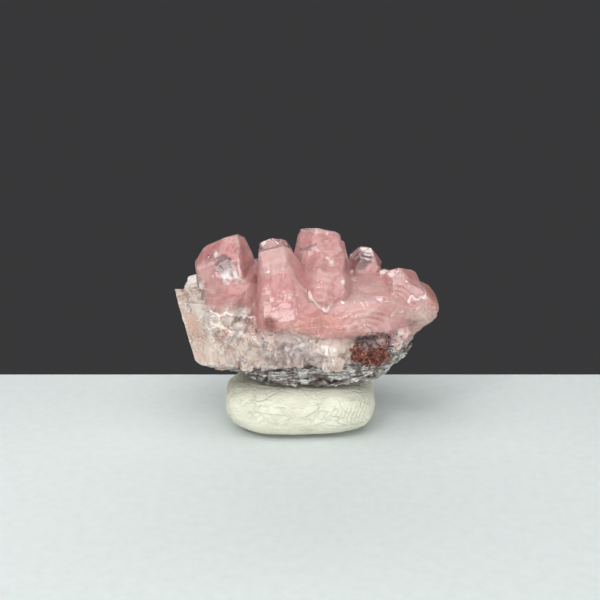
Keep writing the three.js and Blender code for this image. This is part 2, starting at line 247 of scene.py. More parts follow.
def row_of_crystals(count, start, end, bow, turn, rise, width, length, depth, seed):
    values = random_stream(seed)
    draw = lambda: next(values)
    either_way = lambda spread: spread * (2 * draw() - 1)
    short_way = (turn[1] - turn[0] + 180) % 360 - 180
    blocks = []
    for index in range(count):
        along = index / (count - 1)
        root = np.array(start) * (1 - along) + np.array(end) * along
        root[1] += math.copysign(bow, start[1]) * 4 * along * (1 - along)
        azimuth = turn[0] + short_way * along + either_way(5)
        axis = direction(azimuth, rise * (1 + either_way(0.18)))
        spin = 60 * draw()
        wide = width * (1 + either_way(0.16))
        long = length * (1 + either_way(0.1))
        sides = [1 + either_way(0.14) for _ in range(6)]
        normals = [(0, 0, -1)]
        reaches = [depth]
        for side in range(6):
            normals.append(direction(spin + 60 * side, SIDE_TAPER))
            reaches.append(0.5 * wide * sides[side] + 0.5 * long * math.sin(math.radians(SIDE_TAPER)))
        for face in range(3):
            normal = direction(spin + 120 * face, RHOMB_FACE)
            normals.append(normal)
            reaches.append(long * normal[2])
        turned = Vector((0, 0, 1)).rotation_difference(Vector(axis)).to_matrix()
        blocks.append(Block(root, np.array(normals) @ np.array(turned).T, reaches))
    return blocks


# ---------- surfaces from joined blocks ----------

def surface_net(field, low, cell):
    """Points and quads where a grid of distances changes sign."""
    inside = field < 0
    shape = np.array(field.shape) - 1
    count = np.zeros(shape, np.int8)
    for offset in np.ndindex(2, 2, 2):
        count += inside[tuple(slice(o, o + s) for o, s in zip(offset, shape))]
    cells = np.argwhere((count > 0) & (count < 8))
    index = np.full(shape, -1, np.int64)
    index[tuple(cells.T)] = np.arange(len(cells))
    total = np.zeros((len(cells), 3))
    hits = np.zeros(len(cells))
    for axis in range(3):
        step = np.eye(3, dtype=int)[axis]
        others = [a for a in range(3) if a != axis]
        for pair in np.ndindex(2, 2):
            offset = np.zeros(3, int)
            offset[others] = pair
            first = cells + offset
            a = field[tuple(first.T)]
            b = field[tuple((first + step).T)]
            crossed = (a < 0) != (b < 0)
            t = np.where(crossed, a / np.where(crossed, a - b, 1), 0)
            total += np.where(crossed[:, None], first + t[:, None] * step, 0)
            hits += crossed
    points = low + total / hits[:, None] * cell
    quads = []
    for axis in range(3):
        u, v = [np.eye(3, dtype=int)[(axis + k) % 3] for k in (1, 2)]
        ahead = [slice(None)] * 3
        ahead[axis] = slice(1, None)
        back = [slice(None)] * 3
        back[axis] = slice(None, -1)
        changed = inside[tuple(back)] != inside[tuple(ahead)]
        edges = np.argwhere(changed)
        edges = edges[((edges[:, (axis + 1) % 3] > 0) & (edges[:, (axis + 2) % 3] > 0))]
        edges = edges[(edges < shape).all(1)]
        corners = [index[tuple((edges - s).T)] for s in (0 * u, u, u + v, v)]
        quad = np.stack(corners, 1)
        leaving = inside[tuple(edges.T)]
        quad[~leaving] = quad[~leaving][:, ::-1]
        quads.append(quad)
    return points, np.concatenate(quads)


class Body:
    """Blocks joined together."""

    def __init__(self, blocks, rounding=0.0):
        self.blocks = [block for block in blocks if not block.empty]
        self.rounding = rounding

    def net(self, cell):
        """Points and quads of the body's surface, on a grid of this spacing."""
        low = np.min([block.low for block in self.blocks], 0) - 3 * cell
        high = np.max([block.high for block in self.blocks], 0) + 3 * cell
        field = np.full(np.ceil((high - low) / cell).astype(int), 1.0, np.float32)
        for block in self.blocks:
            first = np.maximum(np.floor((block.low - low) / cell).astype(int) - 3, 0)
            last = np.minimum(np.ceil((block.high - low) / cell).astype(int) + 3, field.shape)
            sides = [low[a] + np.arange(first[a], last[a]) * cell - block.heart[a] for a in range(3)]
            x, y, z = np.ix_(*[side.astype(np.float32) for side in sides])
            over = np.float32(-np.inf)
            for normal, reach in zip(block.normals, block.reaches):
                over = np.maximum(over, (x * normal[0] + y * normal[1]) + (z * normal[2] - reach))
            window = tuple(slice(a, b) for a, b in zip(first, last))
            field[window] = np.minimum(field[window], over)
        return surface_net(field, low, cell)

    def at(self, points):
        """Distance outside the body, the outward normal, and the block each point belongs to."""
        best = np.full(len(points), 1e3)
        normal = np.zeros((len(points), 3))
        owner = np.full(len(points), -1)
        for number, block in enumerate(self.blocks):
            chosen = np.flatnonzero(((points > block.low - 0.4) & (points < block.high + 0.4)).all(1))
            if not len(chosen):
                continue
            value, share = block.value(points[chosen], self.rounding)
            wins = value < best[chosen]
            chosen = chosen[wins]
            best[chosen] = value[wins]
            normal[chosen] = share[wins] @ block.normals
            owner[chosen] = number
        normal /= np.maximum(np.linalg.norm(normal, axis=1), 1e-6)[:, None]
        return best, normal, owner

    def settled(self, points, passes=3):
        """The points moved onto the body's surface, with its normal and their block at each."""
        for _ in range(passes):
            value, normal, _ = self.at(points)
            step = np.clip(value, -0.2, 0.2)
            points = points - normal * np.where(np.abs(value) < 1, step, 0)[:, None]
        return (points, *self.at(points)[1:])

    def surface(self, cell):
        points, quads = self.net(cell)
        return (quads, *self.settled(points))


def waves(points, wavelength, seed, count=20):
    """A smooth wandering value, about -1 to 1, that changes over about one wavelength."""
    rng = np.random.default_rng(seed)
    ways = rng.normal(size=(count, 3))
    ways /= np.linalg.norm(ways, axis=1)[:, None]
    ways *= rng.uniform(0.6, 1.4, (count, 1)) * 2 * math.pi / wavelength
    phases = rng.uniform(0, 2 * math.pi, count)
    total = np.zeros(len(points))
    for way, phase in zip(ways, phases):
        total += np.sin(points @ way + phase)
    return total / math.sqrt(count / 2) * 0.7


def scrambled(keys, turn):
    """Repeatable numbers from 0 to 1 for whole-number keys."""
    x = (keys + turn * 0x9E3779B9) & 0xFFFFFFFF
    for shift, factor in ((16, 0x85EBCA6B), (13, 0xC2B2AE35), (16, 1)):
        x = ((x ^ (x >> shift)) * factor) & 0xFFFFFFFF
    return x / 2.0**32


def cells(points, size, seed):
    """The offset from the nearest cell's centre, the room to the next cell, and the cell's key."""
    scaled = points / size
    base = np.floor(scaled).astype(np.int64)
    nearest = np.full(len(points), 9.0)
    second = nearest.copy()
    offset = np.zeros((len(points), 3))
    keys = np.zeros(len(points), np.int64)
    for shift in np.ndindex(3, 3, 3):
        cell = base + np.array(shift) - 1
        key = (cell[:, 0] * 73856093) ^ (cell[:, 1] * 19349663) ^ (cell[:, 2] * 83492791) ^ (seed * 7919)
        key &= 0xFFFFFFFF
        centre = cell + np.stack([scrambled(key, turn) for turn in (1, 2, 3)], 1)
        away = scaled - centre
        distance = (away * away).sum(1)
        closer = distance < nearest
        second = np.where(closer, nearest, np.minimum(second, distance))
        nearest = np.where(closer, distance, nearest)
        offset[closer] = away[closer]
        keys[closer] = key[closer]
    return offset * size, (np.sqrt(second) - np.sqrt(nearest)) * size, keys


def facets(points, normals, size, slope, seed):
    """A broken surface of small flat facets, each tilted its own way, and the ridges between them."""
    offset, room, keys = cells(points, size, seed)
    tilt = np.stack([scrambled(keys, turn) for turn in (4, 5, 6)], 1) * 2 - 1
    tilt -= normals * (tilt * normals).sum(1)[:, None]
    relief = slope * (offset * tilt).sum(1) + 0.12 * slope * size * (scrambled(keys, 7) * 2 - 1)
    return relief, np.clip(1 - room / 0.16, 0, 1)


def spot(points, centre, radii):
    """1 at the centre, falling to 0 outside the radii."""
    away = (points - np.array(centre)) / np.array(radii)
    return np.clip(1.6 * (1 - np.sqrt((away * away).sum(1))), 0, 1)


def stroke(points, path, width):
    """1 along a line drawn on the best face through its (x, z) places, fading to 0 at its sides."""
    flat = points[:, (0, 2)]
    nearest = np.full(len(points), 9.0)
    for start, end in zip(np.array(path[:-1]), np.array(path[1:])):
        way = end - start
        share = np.clip((flat - start) @ way / (way @ way), 0, 1)
        away = flat - start - share[:, None] * way
        nearest = np.minimum(nearest, np.hypot(*away.T))
    return np.clip(1 - nearest / width, 0, 1)


def patch(points, corners, blur=0.1):
    """1 inside a shape drawn on the best face. Its (x, z) corners go round against the clock."""
    x, _, z = points.T
    inside = np.full(len(points), 9.0)
    for (x0, z0), (x1, z1) in zip(corners, corners[1:] + corners[:1]):
        side = ((x1 - x0) * (z - z0) - (z1 - z0) * (x - x0)) / math.hypot(x1 - x0, z1 - z0)
        inside = np.minimum(inside, side)
    return np.clip(inside / blur + 0.5, 0, 1)


# ---------- growth layers and steps on the crystal faces ----------

def growth_layers(block, rng, most=6):
    """Thin plates grown on some faces, each with its edges set back from the face's edges."""
    layers = []
    faces = [j for j in range(len(block.reaches)) if block.normals[j][2] > -0.5]
    rng.shuffle(faces)
    for j in faces[:most]:
        inset = rng.uniform(0.0, 0.16, len(block.reaches)) * block.size
        inset[rng.random(len(inset)) < 0.45] = -0.05
        thickness = rng.uniform(0.03, 0.09)
        changes = -inset
        changes[j] = thickness
        layers.append(block.moved(changes))
        if rng.random() < 0.6:
            changes = changes - rng.uniform(0.02, 0.1, len(inset)) * block.size
            changes[j] = thickness + rng.uniform(0.03, 0.07)
            layers.append(block.moved(changes))
    return layers


def growth_steps(points, owners, blocks, seed, edge_reach=EDGE_REACH):
    """On each face, how many growth steps lie between a point and the place where growth began.

    The steps are round or six-sided. The second result is 1 on the block's own edges.
    """
    rng = np.random.default_rng(seed)
    steps = np.zeros(len(points))
    edge = np.zeros(len(points))
    for number, block in enumerate(blocks):
        count = len(block.reaches)
        starts = rng.uniform(-0.4, 0.4, (count, 2)) * block.size
        turns = rng.uniform(0, math.pi, count)
        roundness = rng.uniform(0, 1, count)
        spacing = rng.uniform(0.35, 1.1, count)
        mine = np.flatnonzero(owners == number)
        if not len(mine):
            continue
        over = (points[mine] - block.heart) @ block.normals.T - block.reaches
        face = over.argmax(1)
        share = np.exp((over - over.max(1)[:, None]) / edge_reach)
        edge[mine] = (1 - 1 / share.sum(1)) * np.clip(1.3 - 6 * block.softness(points[mine]), 0, 1)
        for j in np.unique(face):
            chosen = mine[face == j]
            normal = block.normals[j]
            across = np.cross(normal, (0.31, 0.17, 0.94))
            across /= np.linalg.norm(across)
            along = np.cross(normal, across)
            local = points[chosen] - block.heart
            u = local @ across - starts[j, 0]
            v = local @ along - starts[j, 1]
            flat = [np.abs(u * math.cos(a) + v * math.sin(a)) for a in turns[j] + np.arange(3) * math.pi / 3]
            reach = np.maximum.reduce(flat) * (1 - roundness[j]) + np.hypot(u, v) * roundness[j]
            steps[chosen] = reach / spacing[j]
    return steps, edge


# ---------- meshes ----------

def boxed(points):
    """The points, none of them past the solids' own box."""
    low, high = (np.array(corner) / MM for corner in cad_box)
    return np.clip(points, low + BOX_MARGIN, high - BOX_MARGIN)


def mesh_object(name, points, faces, material, attributes=None):
    mesh = bpy.data.meshes.new(name)
    mesh.vertices.add(len(points))
    mesh.vertices.foreach_set("co", (np.asarray(points) * MM).astype(np.float32).ravel())
    size = faces.shape[1]
    mesh.loops.add(faces.size)
    mesh.loops.foreach_set("vertex_index", faces.astype(np.int32).ravel())
    mesh.polygons.add(len(faces))
    mesh.polygons.foreach_set("loop_start", np.arange(0, faces.size, size, dtype=np.int32))
    mesh.polygons.foreach_set("loop_total", np.full(len(faces), size, np.int32))
    mesh.update(calc_edges=True)
    mesh.polygons.foreach_set("use_smooth", np.full(len(faces), True))
    for key, values in (attributes or {}).items():
        layer = mesh.attributes.new(key, "FLOAT", "POINT")
        layer.data.foreach_set("value", np.asarray(values, np.float32))
    mesh.materials.append(material)
    mesh.validate()
    obj = bpy.data.objects.new(name, mesh)
    bpy.context.scene.collection.objects.link(obj)
    return obj


def plain_mesh(obj):
    """Turns the object's modifiers' result into its own mesh, and takes the modifiers away."""
    graph = bpy.context.evaluated_depsgraph_get()
    mesh = bpy.data.meshes.new_from_object(obj.evaluated_get(graph))
    obj.modifiers.clear()
    old, obj.data = obj.data, mesh
    bpy.data.meshes.remove(old)
    mesh.name = obj.name
    return obj


def thinned(obj, kept=None):
    """The piece with no more than the most triangles. The `kept` points keep all of theirs."""
    modifier = obj.modifiers.new("thin", "DECIMATE")
    if kept is not None:
        group = obj.vertex_groups.new(name="free")
        group.add([int(i) for i in np.flatnonzero(~kept)], 1.0, "REPLACE")
        modifier.vertex_group = group.name
    modifier.ratio = min(1, MOST_TRIANGLES / (2 * len(obj.data.polygons)))
    modifier.use_collapse_triangulate = True
    plain_mesh(obj)
    obj.vertex_groups.clear()
    return obj


# ---------- materials ----------

def add_node(tree, kind, values=None, **settings):
    """A node whose inputs are set to the values, or linked where a value is a node's output."""
    made = tree.nodes.new(kind)
    for key, value in settings.items():
        setattr(made, key, value)
    for key, value in (values or {}).items():
        if isinstance(value, bpy.types.NodeSocket):
            tree.links.new(value, made.inputs[key])
        else:
            made.inputs[key].default_value = value
    return made


class Paint:
    """A material being made. Each method adds nodes and gives back the value that comes out."""

    def __init__(self, name):
        self.material = bpy.data.materials.new(name)
        self.material.use_nodes = True
        self.tree = self.material.node_tree
        self.shader = self.tree.nodes["Principled BSDF"]
        self.where = self.node("TexCoord").outputs["Object"]

    def node(self, kind, values=None, **settings):
        return add_node(self.tree, "ShaderNode" + kind, values, **settings)

    def attribute(self, name):
        return self.node("Attribute", attribute_name=name, attribute_type="GEOMETRY").outputs["Fac"]

    def vector(self, operation, value):
        """The place on the piece, with one step of vector arithmetic."""
        return self.node("VectorMath", {0: self.where, 1: value}, operation=operation).outputs["Vector"]

    def noise(self, size, detail=4.0, roughness=0.6, distortion=0.0, where=None):
        """Noise whose features are about `size` millimetres."""
        made = self.node("TexNoise", {
            "Vector": self.where if where is None else where, "Scale": 1 / (size * MM),
            "Detail": detail, "Roughness": roughness, "Distortion": distortion,
        })
        return made.outputs["Fac"]

    def ramp(self, source, *stops):
        """A colour, or a grey for a plain number, that changes at the stops."""
        made = self.node("ValToRGB", {"Fac": source})
        while len(made.color_ramp.elements) < len(stops):
            made.color_ramp.elements.new(0.5)
        for element, (place, colour) in zip(made.color_ramp.elements, stops):
            element.position = place
            element.color = (*colour, 1) if isinstance(colour, tuple) else (colour, colour, colour, 1)
        return made.outputs["Color"]

    def mix(self, amount, first, second):
        made = self.node("Mix", data_type="RGBA")
        wanted = {("Factor", "VALUE"): amount, ("A", "RGBA"): first, ("B", "RGBA"): second}
        for socket in made.inputs:
            value = wanted.get((socket.name, socket.type))
            if isinstance(value, bpy.types.NodeSocket):
                self.tree.links.new(value, socket)
            elif value is not None:
                socket.default_value = (*value, 1) if isinstance(value, tuple) else value
        return next(s for s in made.outputs if s.type == "RGBA")

    def maths(self, operation, first, second=0.0, clamp=False):
        return self.node("Math", {0: first, 1: second}, operation=operation, use_clamp=clamp).outputs[0]

    def plus(self, first, second):
        return self.maths("ADD", first, second)

    def less(self, first, second):
        return self.maths("SUBTRACT", first, second)

    def times(self, first, second):
        return self.maths("MULTIPLY", first, second)

    def most(self, first, second):
        return self.maths("MAXIMUM", first, second)

    def toned(self, colour, shades):
        """The colour, with each named tone laid over it by its share."""
        for name, share, shade in shades:
            amount = self.maths("MULTIPLY", self.attribute(name), share, clamp=True)
            colour = self.mix(amount, colour, shade)
        return colour

    def wrinkles(self, size, thin=0.09, where=None):
        """Thin creases that run into each other."""
        value = self.noise(size, detail=2, roughness=0.45, distortion=0.6, where=where)
        away = self.maths("ABSOLUTE", self.less(value, 0.5))
        return self.ramp(away, (0.0, 1.0), (thin * 0.4, 0.35), (thin, 0.0))

    def set(self, **values):
        """Sets the shader's own sockets, or links values to them. Base_Color is "Base Color"."""
        for key, value in values.items():
            socket = self.shader.inputs[key.replace("_", " ")]
            if isinstance(value, bpy.types.NodeSocket):
                self.tree.links.new(value, socket)
            else:
                socket.default_value = value

    def scatter(self, weight, radius, scale):
        """Light that spreads under the surface, as far as `scale` millimetres."""
        self.set(Subsurface_Weight=weight, Subsurface_Radius=radius, Subsurface_Scale=scale * MM)

    def bump(self, height, strength, distance, invert=False):
        made = self.node("Bump", {"Height": height, "Strength": strength, "Distance": distance * MM},
                         invert=invert)
        self.set(Normal=made.outputs["Normal"])


CALCITE_IOR = 1.56
CALCITE_SPREAD = (1.0, 0.8, 0.75)   # how far red, green and blue light spread under its surface

# Rounded growth ripples: the (x, z) place that they go round, and their spacing.
RIPPLES = {
    "ripples_stepped": ((10.4, 15.9), 0.56),
    "ripples_belt": ((6.6, 11.6), 0.62),
    "ripples_facet": ((3.0, -6.0), 0.80),
    "ripples_swell": ((1.4, 15.4), 0.75),
}


def step_share(paint):
    """How far each point is through its growth step, from 0 to 1."""
    wander = paint.noise(1.6, detail=3)
    return paint.maths("FRACT", paint.plus(paint.attribute("steps"), paint.times(wander, 1.1)))


def ripples(paint):
    """The crests and the troughs of the rings on the faces that grew in rounded steps."""
    crests, troughs = 0.0, 0.0
    for name, ((x, z), spacing) in RIPPLES.items():
        rings = paint.node("TexWave", {
            "Vector": paint.vector("SUBTRACT", (x * MM, 0, z * MM)), "Scale": math.pi / (10 * spacing * MM),
            "Distortion": 2.2, "Detail": 2.0, "Detail Scale": 1.0,
        }, wave_type="RINGS", rings_direction="Y").outputs["Fac"]
        seen = paint.attribute(name)
        crests = paint.most(crests, paint.times(paint.ramp(rings, (0.55, 0.0), (0.95, 1.0)), seen))
        troughs = paint.most(troughs, paint.times(paint.ramp(rings, (0.05, 1.0), (0.40, 0.0)), seen))
    return crests, troughs


def rock_streaks(paint):
    return paint.noise(0.55, detail=7, roughness=0.7, distortion=0.5,
                       where=paint.vector("MULTIPLY", (0.45, 0.7, 2.0)))


def rock_colour(paint, streaks, small):
    """Grey-white rock with dark brown hollows."""
    colour = paint.ramp(streaks, (0.38, (0.03, 0.020, 0.015)), (0.45, (0.13, 0.095, 0.075)),
                        (0.49, (0.50, 0.49, 0.47)), (0.53, (0.20, 0.17, 0.15)),
                        (0.57, (0.70, 0.70, 0.69)), (0.68, (0.90, 0.90, 0.89)))
    brown = paint.ramp(paint.noise(2.0, distortion=0.6), (0.54, 0.0), (0.62, 0.7))
    colour = paint.mix(brown, colour, (0.10, 0.060, 0.045))
    speckle = paint.ramp(small, (0.36, 0.9), (0.45, 0.0))
    return paint.mix(speckle, colour, (0.08, 0.055, 0.045))


def crystal_material():
    """The clear outer calcite, pink above and cream below."""
    paint = Paint("pink_crystal")
    low = paint.attribute("low")
    cloud = paint.noise(3.0, detail=5, roughness=0.5, distortion=0.3)
    rosy = paint.ramp(cloud, (0.3, (0.90, 0.60, 0.58)), (0.5, (0.92, 0.68, 0.66)),
                      (0.72, (0.94, 0.78, 0.75)))
    cream = paint.ramp(cloud, (0.3, (0.86, 0.61, 0.49)), (0.5, (0.90, 0.71, 0.60)),
                       (0.72, (0.94, 0.83, 0.75)))
    colour = paint.mix(low, rosy, cream)
    creases = paint.most(paint.wrinkles(1.5), paint.times(paint.wrinkles(0.5, 0.07), 0.5))
    creases = paint.times(creases, low)
    # Painted highlights: the creases and the crests of the broken part are made whiter.
    bright = paint.most(paint.times(creases, 0.3), paint.times(paint.attribute("rim"), 0.9))
    colour = paint.mix(bright, colour, (0.95, 0.90, 0.86))
    uncleaved = paint.less(1.0, paint.times(paint.attribute("peach"), 0.7))
    broken = paint.times(paint.ramp(paint.noise(2.6, detail=3), (0.40, 0.15), (0.60, 1.0)),
                         paint.times(low, uncleaved))
    # Dark brownish pits and fine creases, partly painted shade in these recesses.
    mottle = paint.noise(0.85, detail=6, roughness=0.65, distortion=1.2)
    dimples = paint.ramp(mottle, (0.36, 1.0), (0.46, 0.0))
    pits = paint.times(paint.most(paint.times(paint.wrinkles(1.2, 0.06), 0.8), dimples), broken)
    colour = paint.mix(paint.times(pits, 0.85), colour, (0.30, 0.20, 0.16))
    glints = paint.times(paint.ramp(mottle, (0.52, 0.0), (0.58, 1.0)), broken)
    colour = paint.mix(glints, colour, (0.97, 0.93, 0.90))
    # Among these tones, edge is a painted highlight along the edges, white holds painted highlights besides
    # the real white marks, and shade holds painted shade in the hollows and grooves besides the real dark
    # line and speckles.
    colour = paint.toned(colour, [
        ("peach", 0.85, (0.90, 0.58, 0.43)), ("lilac", 0.5, (0.68, 0.54, 0.55)),
        ("white", 0.75, (0.95, 0.90, 0.87)), ("shade", 0.85, (0.24, 0.17, 0.15)),
        ("rose", 0.8, (0.48, 0.18, 0.15)), ("rust", 0.9, (0.22, 0.05, 0.03)),
        ("dark", 0.95, (0.05, 0.03, 0.03)), ("edge", 0.8, (0.98, 0.88, 0.86)),
    ])
    crusted = paint.attribute("crusted")
    rock = rock_colour(paint, rock_streaks(paint), paint.noise(0.35, detail=6, roughness=0.7))
    colour = paint.mix(crusted, colour, rock)
    through = paint.less(paint.attribute("clear"), paint.times(bright, 0.3))
    for name, share in [("edge", 0.3), ("rust", 0.9), ("dark", 0.9), ("white", 0.6), ("shade", 0.3),
                        ("crusted", 0.9)]:
        through = paint.less(through, paint.times(paint.attribute(name), share))
    rough = paint.ramp(paint.noise(0.5, detail=3), (0.35, 0.01), (0.6, 0.03), (0.8, 0.09))
    rough = paint.plus(rough, paint.times(paint.plus(low, paint.times(crusted, 4.0)), 0.07))
    paint.set(Base_Color=colour, Transmission_Weight=paint.most(through, 0.05), Roughness=rough,
              IOR=CALCITE_IOR)
    paint.scatter(0.7, CALCITE_SPREAD, 0.2)
    terrace = paint.ramp(step_share(paint), (0.0, 0.0), (0.16, 1.0), (1.0, 0.0))
    grain = paint.times(paint.noise(0.4, detail=5, roughness=0.65), low)
    height = paint.times(terrace, 0.2)
    for value, share in [(creases, 1.2), (grain, 2.0), (pits, -2.5), (glints, 1.2), (ripples(paint)[0], 0.5)]:
        height = paint.plus(height, paint.times(value, share))
    paint.bump(height, 0.9, 0.09)
    depth = paint.node("VolumeAbsorption", {"Color": (0.96, 0.66, 0.64, 1), "Density": 45.0})
    output = paint.tree.nodes["Material Output"]
    paint.tree.links.new(depth.outputs[0], output.inputs["Volume"])
    return paint.material


def cloud_material():
    """The milky calcite inside, with the veils and stains that show through the clear part. Its colour also
    holds painted light: lighter tops, a lighter shoulder and lighter edges, and the dark backdrop painted in
    where clear windows would show it.
    """
    paint = Paint("milky_calcite")
    cloud = paint.noise(2.4, detail=6, distortion=0.5)
    small = paint.noise(0.45, detail=5, roughness=0.65)
    cream = paint.ramp(cloud, (0.3, (0.81, 0.57, 0.46)), (0.5, (0.87, 0.69, 0.58)), (0.7, (0.93, 0.82, 0.74)))
    rosy = paint.ramp(cloud, (0.3, (0.88, 0.51, 0.51)), (0.5, (0.92, 0.60, 0.60)), (0.7, (0.95, 0.74, 0.72)))
    colour = paint.mix(paint.attribute("low"), rosy, cream)
    fleck = paint.ramp(small, (0.40, 0.0), (0.57, 0.0), (0.70, 0.45))
    colour = paint.mix(fleck, colour, (0.96, 0.91, 0.89))
    # The veil tone holds painted light as well as real veils: lighter tops and a lighter shoulder.
    colour = paint.toned(colour, [
        ("coral", 0.8, (0.88, 0.40, 0.42)), ("veil_and_painted_light", 0.7, (0.97, 0.80, 0.76)),
        ("peach", 0.8, (0.80, 0.46, 0.31)), ("lilac", 0.6, (0.62, 0.48, 0.50)),
    ])
    lines = paint.ramp(step_share(paint), (0.0, 0.0), (0.16, 1.0), (0.32, 0.25), (0.768, 0.0))
    seen = paint.ramp(paint.noise(2.2, detail=2), (0.42, 0.0), (0.58, 0.6))
    streaks = paint.most(paint.times(lines, seen), paint.times(paint.wrinkles(1.8, 0.06), 0.9))
    colour = paint.mix(paint.times(streaks, 0.8), colour, (0.98, 0.91, 0.89))
    crests, troughs = ripples(paint)
    colour = paint.mix(paint.times(troughs, 0.6), colour, (0.82, 0.42, 0.42))
    colour = paint.mix(paint.times(crests, 0.9), colour, (0.99, 0.92, 0.90))
    # Here the edge tone is a painted highlight along the edges; the next tone, near black-red, paints in the
    # dark backdrop that clear windows would show, besides some real dark specks; and the white tone holds
    # painted highlights besides real white marks.
    colour = paint.toned(colour, [
        ("edge", 0.5, (0.98, 0.86, 0.83)), ("window_dark_and_specks", 0.95, (0.22, 0.11, 0.13)),
        ("white", 0.8, (0.93, 0.88, 0.85)), ("rose", 0.9, (0.50, 0.18, 0.16)),
        ("rust", 0.9, (0.22, 0.05, 0.03)), ("dark", 0.95, (0.05, 0.03, 0.03)),
    ])
    paint.set(Base_Color=colour, Roughness=paint.ramp(small, (0.3, 0.25), (0.7, 0.5)), IOR=CALCITE_IOR)
    paint.scatter(0.3, CALCITE_SPREAD, 0.3)
    paint.bump(paint.plus(paint.noise(0.3, detail=5, roughness=0.65), streaks), 0.5, 0.05)
    return paint.material


def crust_material():
    paint = Paint("host_rock")
    leaning = paint.node("Mapping", {"Vector": paint.where, "Rotation": (0, math.radians(38), 0),
                                     "Scale": (0.35, 0.8, 2.6)}).outputs["Vector"]
    streaked = paint.noise(0.7, detail=6, roughness=0.65, distortion=0.3, where=leaning)
    layered = paint.mix(paint.attribute("slab"), rock_streaks(paint), streaked)
    small = paint.noise(0.35, detail=6, roughness=0.7)
    colour = rock_colour(paint, layered, small)
    # Painted shade in the low places between the ridges.
    sunk = paint.ramp(paint.attribute("ridge"), (0.22, 0.9), (0.42, 0.0))
    colour = paint.mix(sunk, colour, (0.09, 0.06, 0.05))
    # The hollows are painted near black, as painted shade.
    colour = paint.toned(colour, [("hollow", 0.97, (0.025, 0.012, 0.010)), ("rust", 0.8, (0.16, 0.04, 0.03))])
    paint.set(Base_Color=colour, Roughness=0.5)
    paint.bump(paint.plus(small, paint.times(layered, 2.0)), 0.8, 0.12)
    return paint.material


def oxide_material():
    paint = Paint("iron_oxide")
    small = paint.noise(0.4, detail=6, roughness=0.7)
    colour = paint.ramp(small, (0.36, (0.012, 0.007, 0.006)), (0.44, (0.07, 0.016, 0.010)),
                        (0.53, (0.17, 0.04, 0.022)), (0.60, (0.30, 0.12, 0.09)), (0.68, (0.62, 0.48, 0.44)))
    grey = paint.mix(paint.ramp(small, (0.4, 0.0), (0.6, 1.0)), (0.03, 0.03, 0.03), (0.20, 0.19, 0.185))
    paint.set(Base_Color=paint.mix(paint.attribute("grey"), colour, grey), Roughness=0.7)
    paint.bump(small, 0.8, 0.08)
    return paint.material


def grain_material():
    paint = Paint("iron_grains")
    colour = paint.ramp(paint.noise(0.3), (0.4, (0.015, 0.012, 0.012)), (0.6, (0.10, 0.085, 0.08)))
    paint.set(Base_Color=colour, Roughness=0.35)
    return paint.material


def putty_material():
    paint = Paint("putty")
    colour = paint.ramp(paint.noise(1.5), (0.35, (0.595, 0.595, 0.48)), (0.65, (0.66, 0.66, 0.55)))
    broad = paint.wrinkles(2.6, 0.05, paint.vector("MULTIPLY", (0.5, 0.8, 1.3)))
    fine = paint.wrinkles(0.9, 0.10, paint.vector("MULTIPLY", (0.6, 0.8, 1.2)))
    worked = paint.ramp(paint.noise(3.5, detail=2), (0.40, 0.15), (0.60, 1.0))
    creases = paint.times(paint.most(broad, paint.times(fine, 0.7)), worked)
    # Painted shade in the creases.
    colour = paint.mix(paint.times(creases, 0.10), colour, (0.42, 0.41, 0.31))
    paint.set(Base_Color=colour, Roughness=0.6)
    paint.scatter(0.15, (1.0, 0.9, 0.7), 0.5)
    paint.bump(paint.plus(creases, paint.noise(0.5)), 0.9, 0.15, invert=True)
    return paint.material


def floor_material():
    paint = Paint("pale_floor")
    dim, pale = (0.564, 0.611, 0.6016), (0.60, 0.65, 0.64)
    paint.set(Base_Color=paint.ramp(paint.noise(1.2, detail=3), (0.3, dim), (0.7, pale)), Roughness=0.9)
    return paint.material


# ---------- the calcite ----------

MASSIVE_FACES = [
    (0, 6, 7.4), (0, -24, 7.4), (352, 36, 6.9), (18, -10, 8.0), (40, -18, 10.2), (62, -30, 10.8),
    (88, -41, 10.5), (85, 8, 14.0), (120, -25, 12.0), (150, -15, 9.6), (180, -6, 8.2),
    (180, -28, 7.6), (180, 38, 8.4), (210, -14, 10.0), (240, -10, 12.0), (268, -14, 13.2),
    (290, -20, 12.6), (322, -18, 10.2), (345, -14, 8.6), (270, -60, 8.6), (90, -78, 4.9),
    (0, -62, 6.8), (180, -62, 6.6), (80, 60, 9.4), (280, 70, 6.2), (0, 90, 4.6), (0, -90, 3.9),
]
CLEAVED_CORNER = [
    ((-11.8, -2.6, 11.4), [
        (267, -13, 1.95), (328, -10, 3.4), (356, -14, 4.3), (70, -10, 4.2), (180, 0, 4),
        (290, 82, 4.9), (270, -58, 3.3), (350, -60, 4.4), (0, -90, 4.2),
    ]),
    ((-13.1, -3.0, 15.3), [
        (267, -13, 1.73), (335, -5, 2.3), (90, 0, 1.0), (180, 0, 2.4), (180, 72, 1.2), (0, -90, 1.4),
    ]),
    ((-12.9, -0.8, 16.2), [
        (262, -20, 1.3), (330, 10, 1.5), (90, 0, 1.6), (180, 0, 1.6), (305, 68, 0.9), (0, -90, 1.4),
    ]),
]
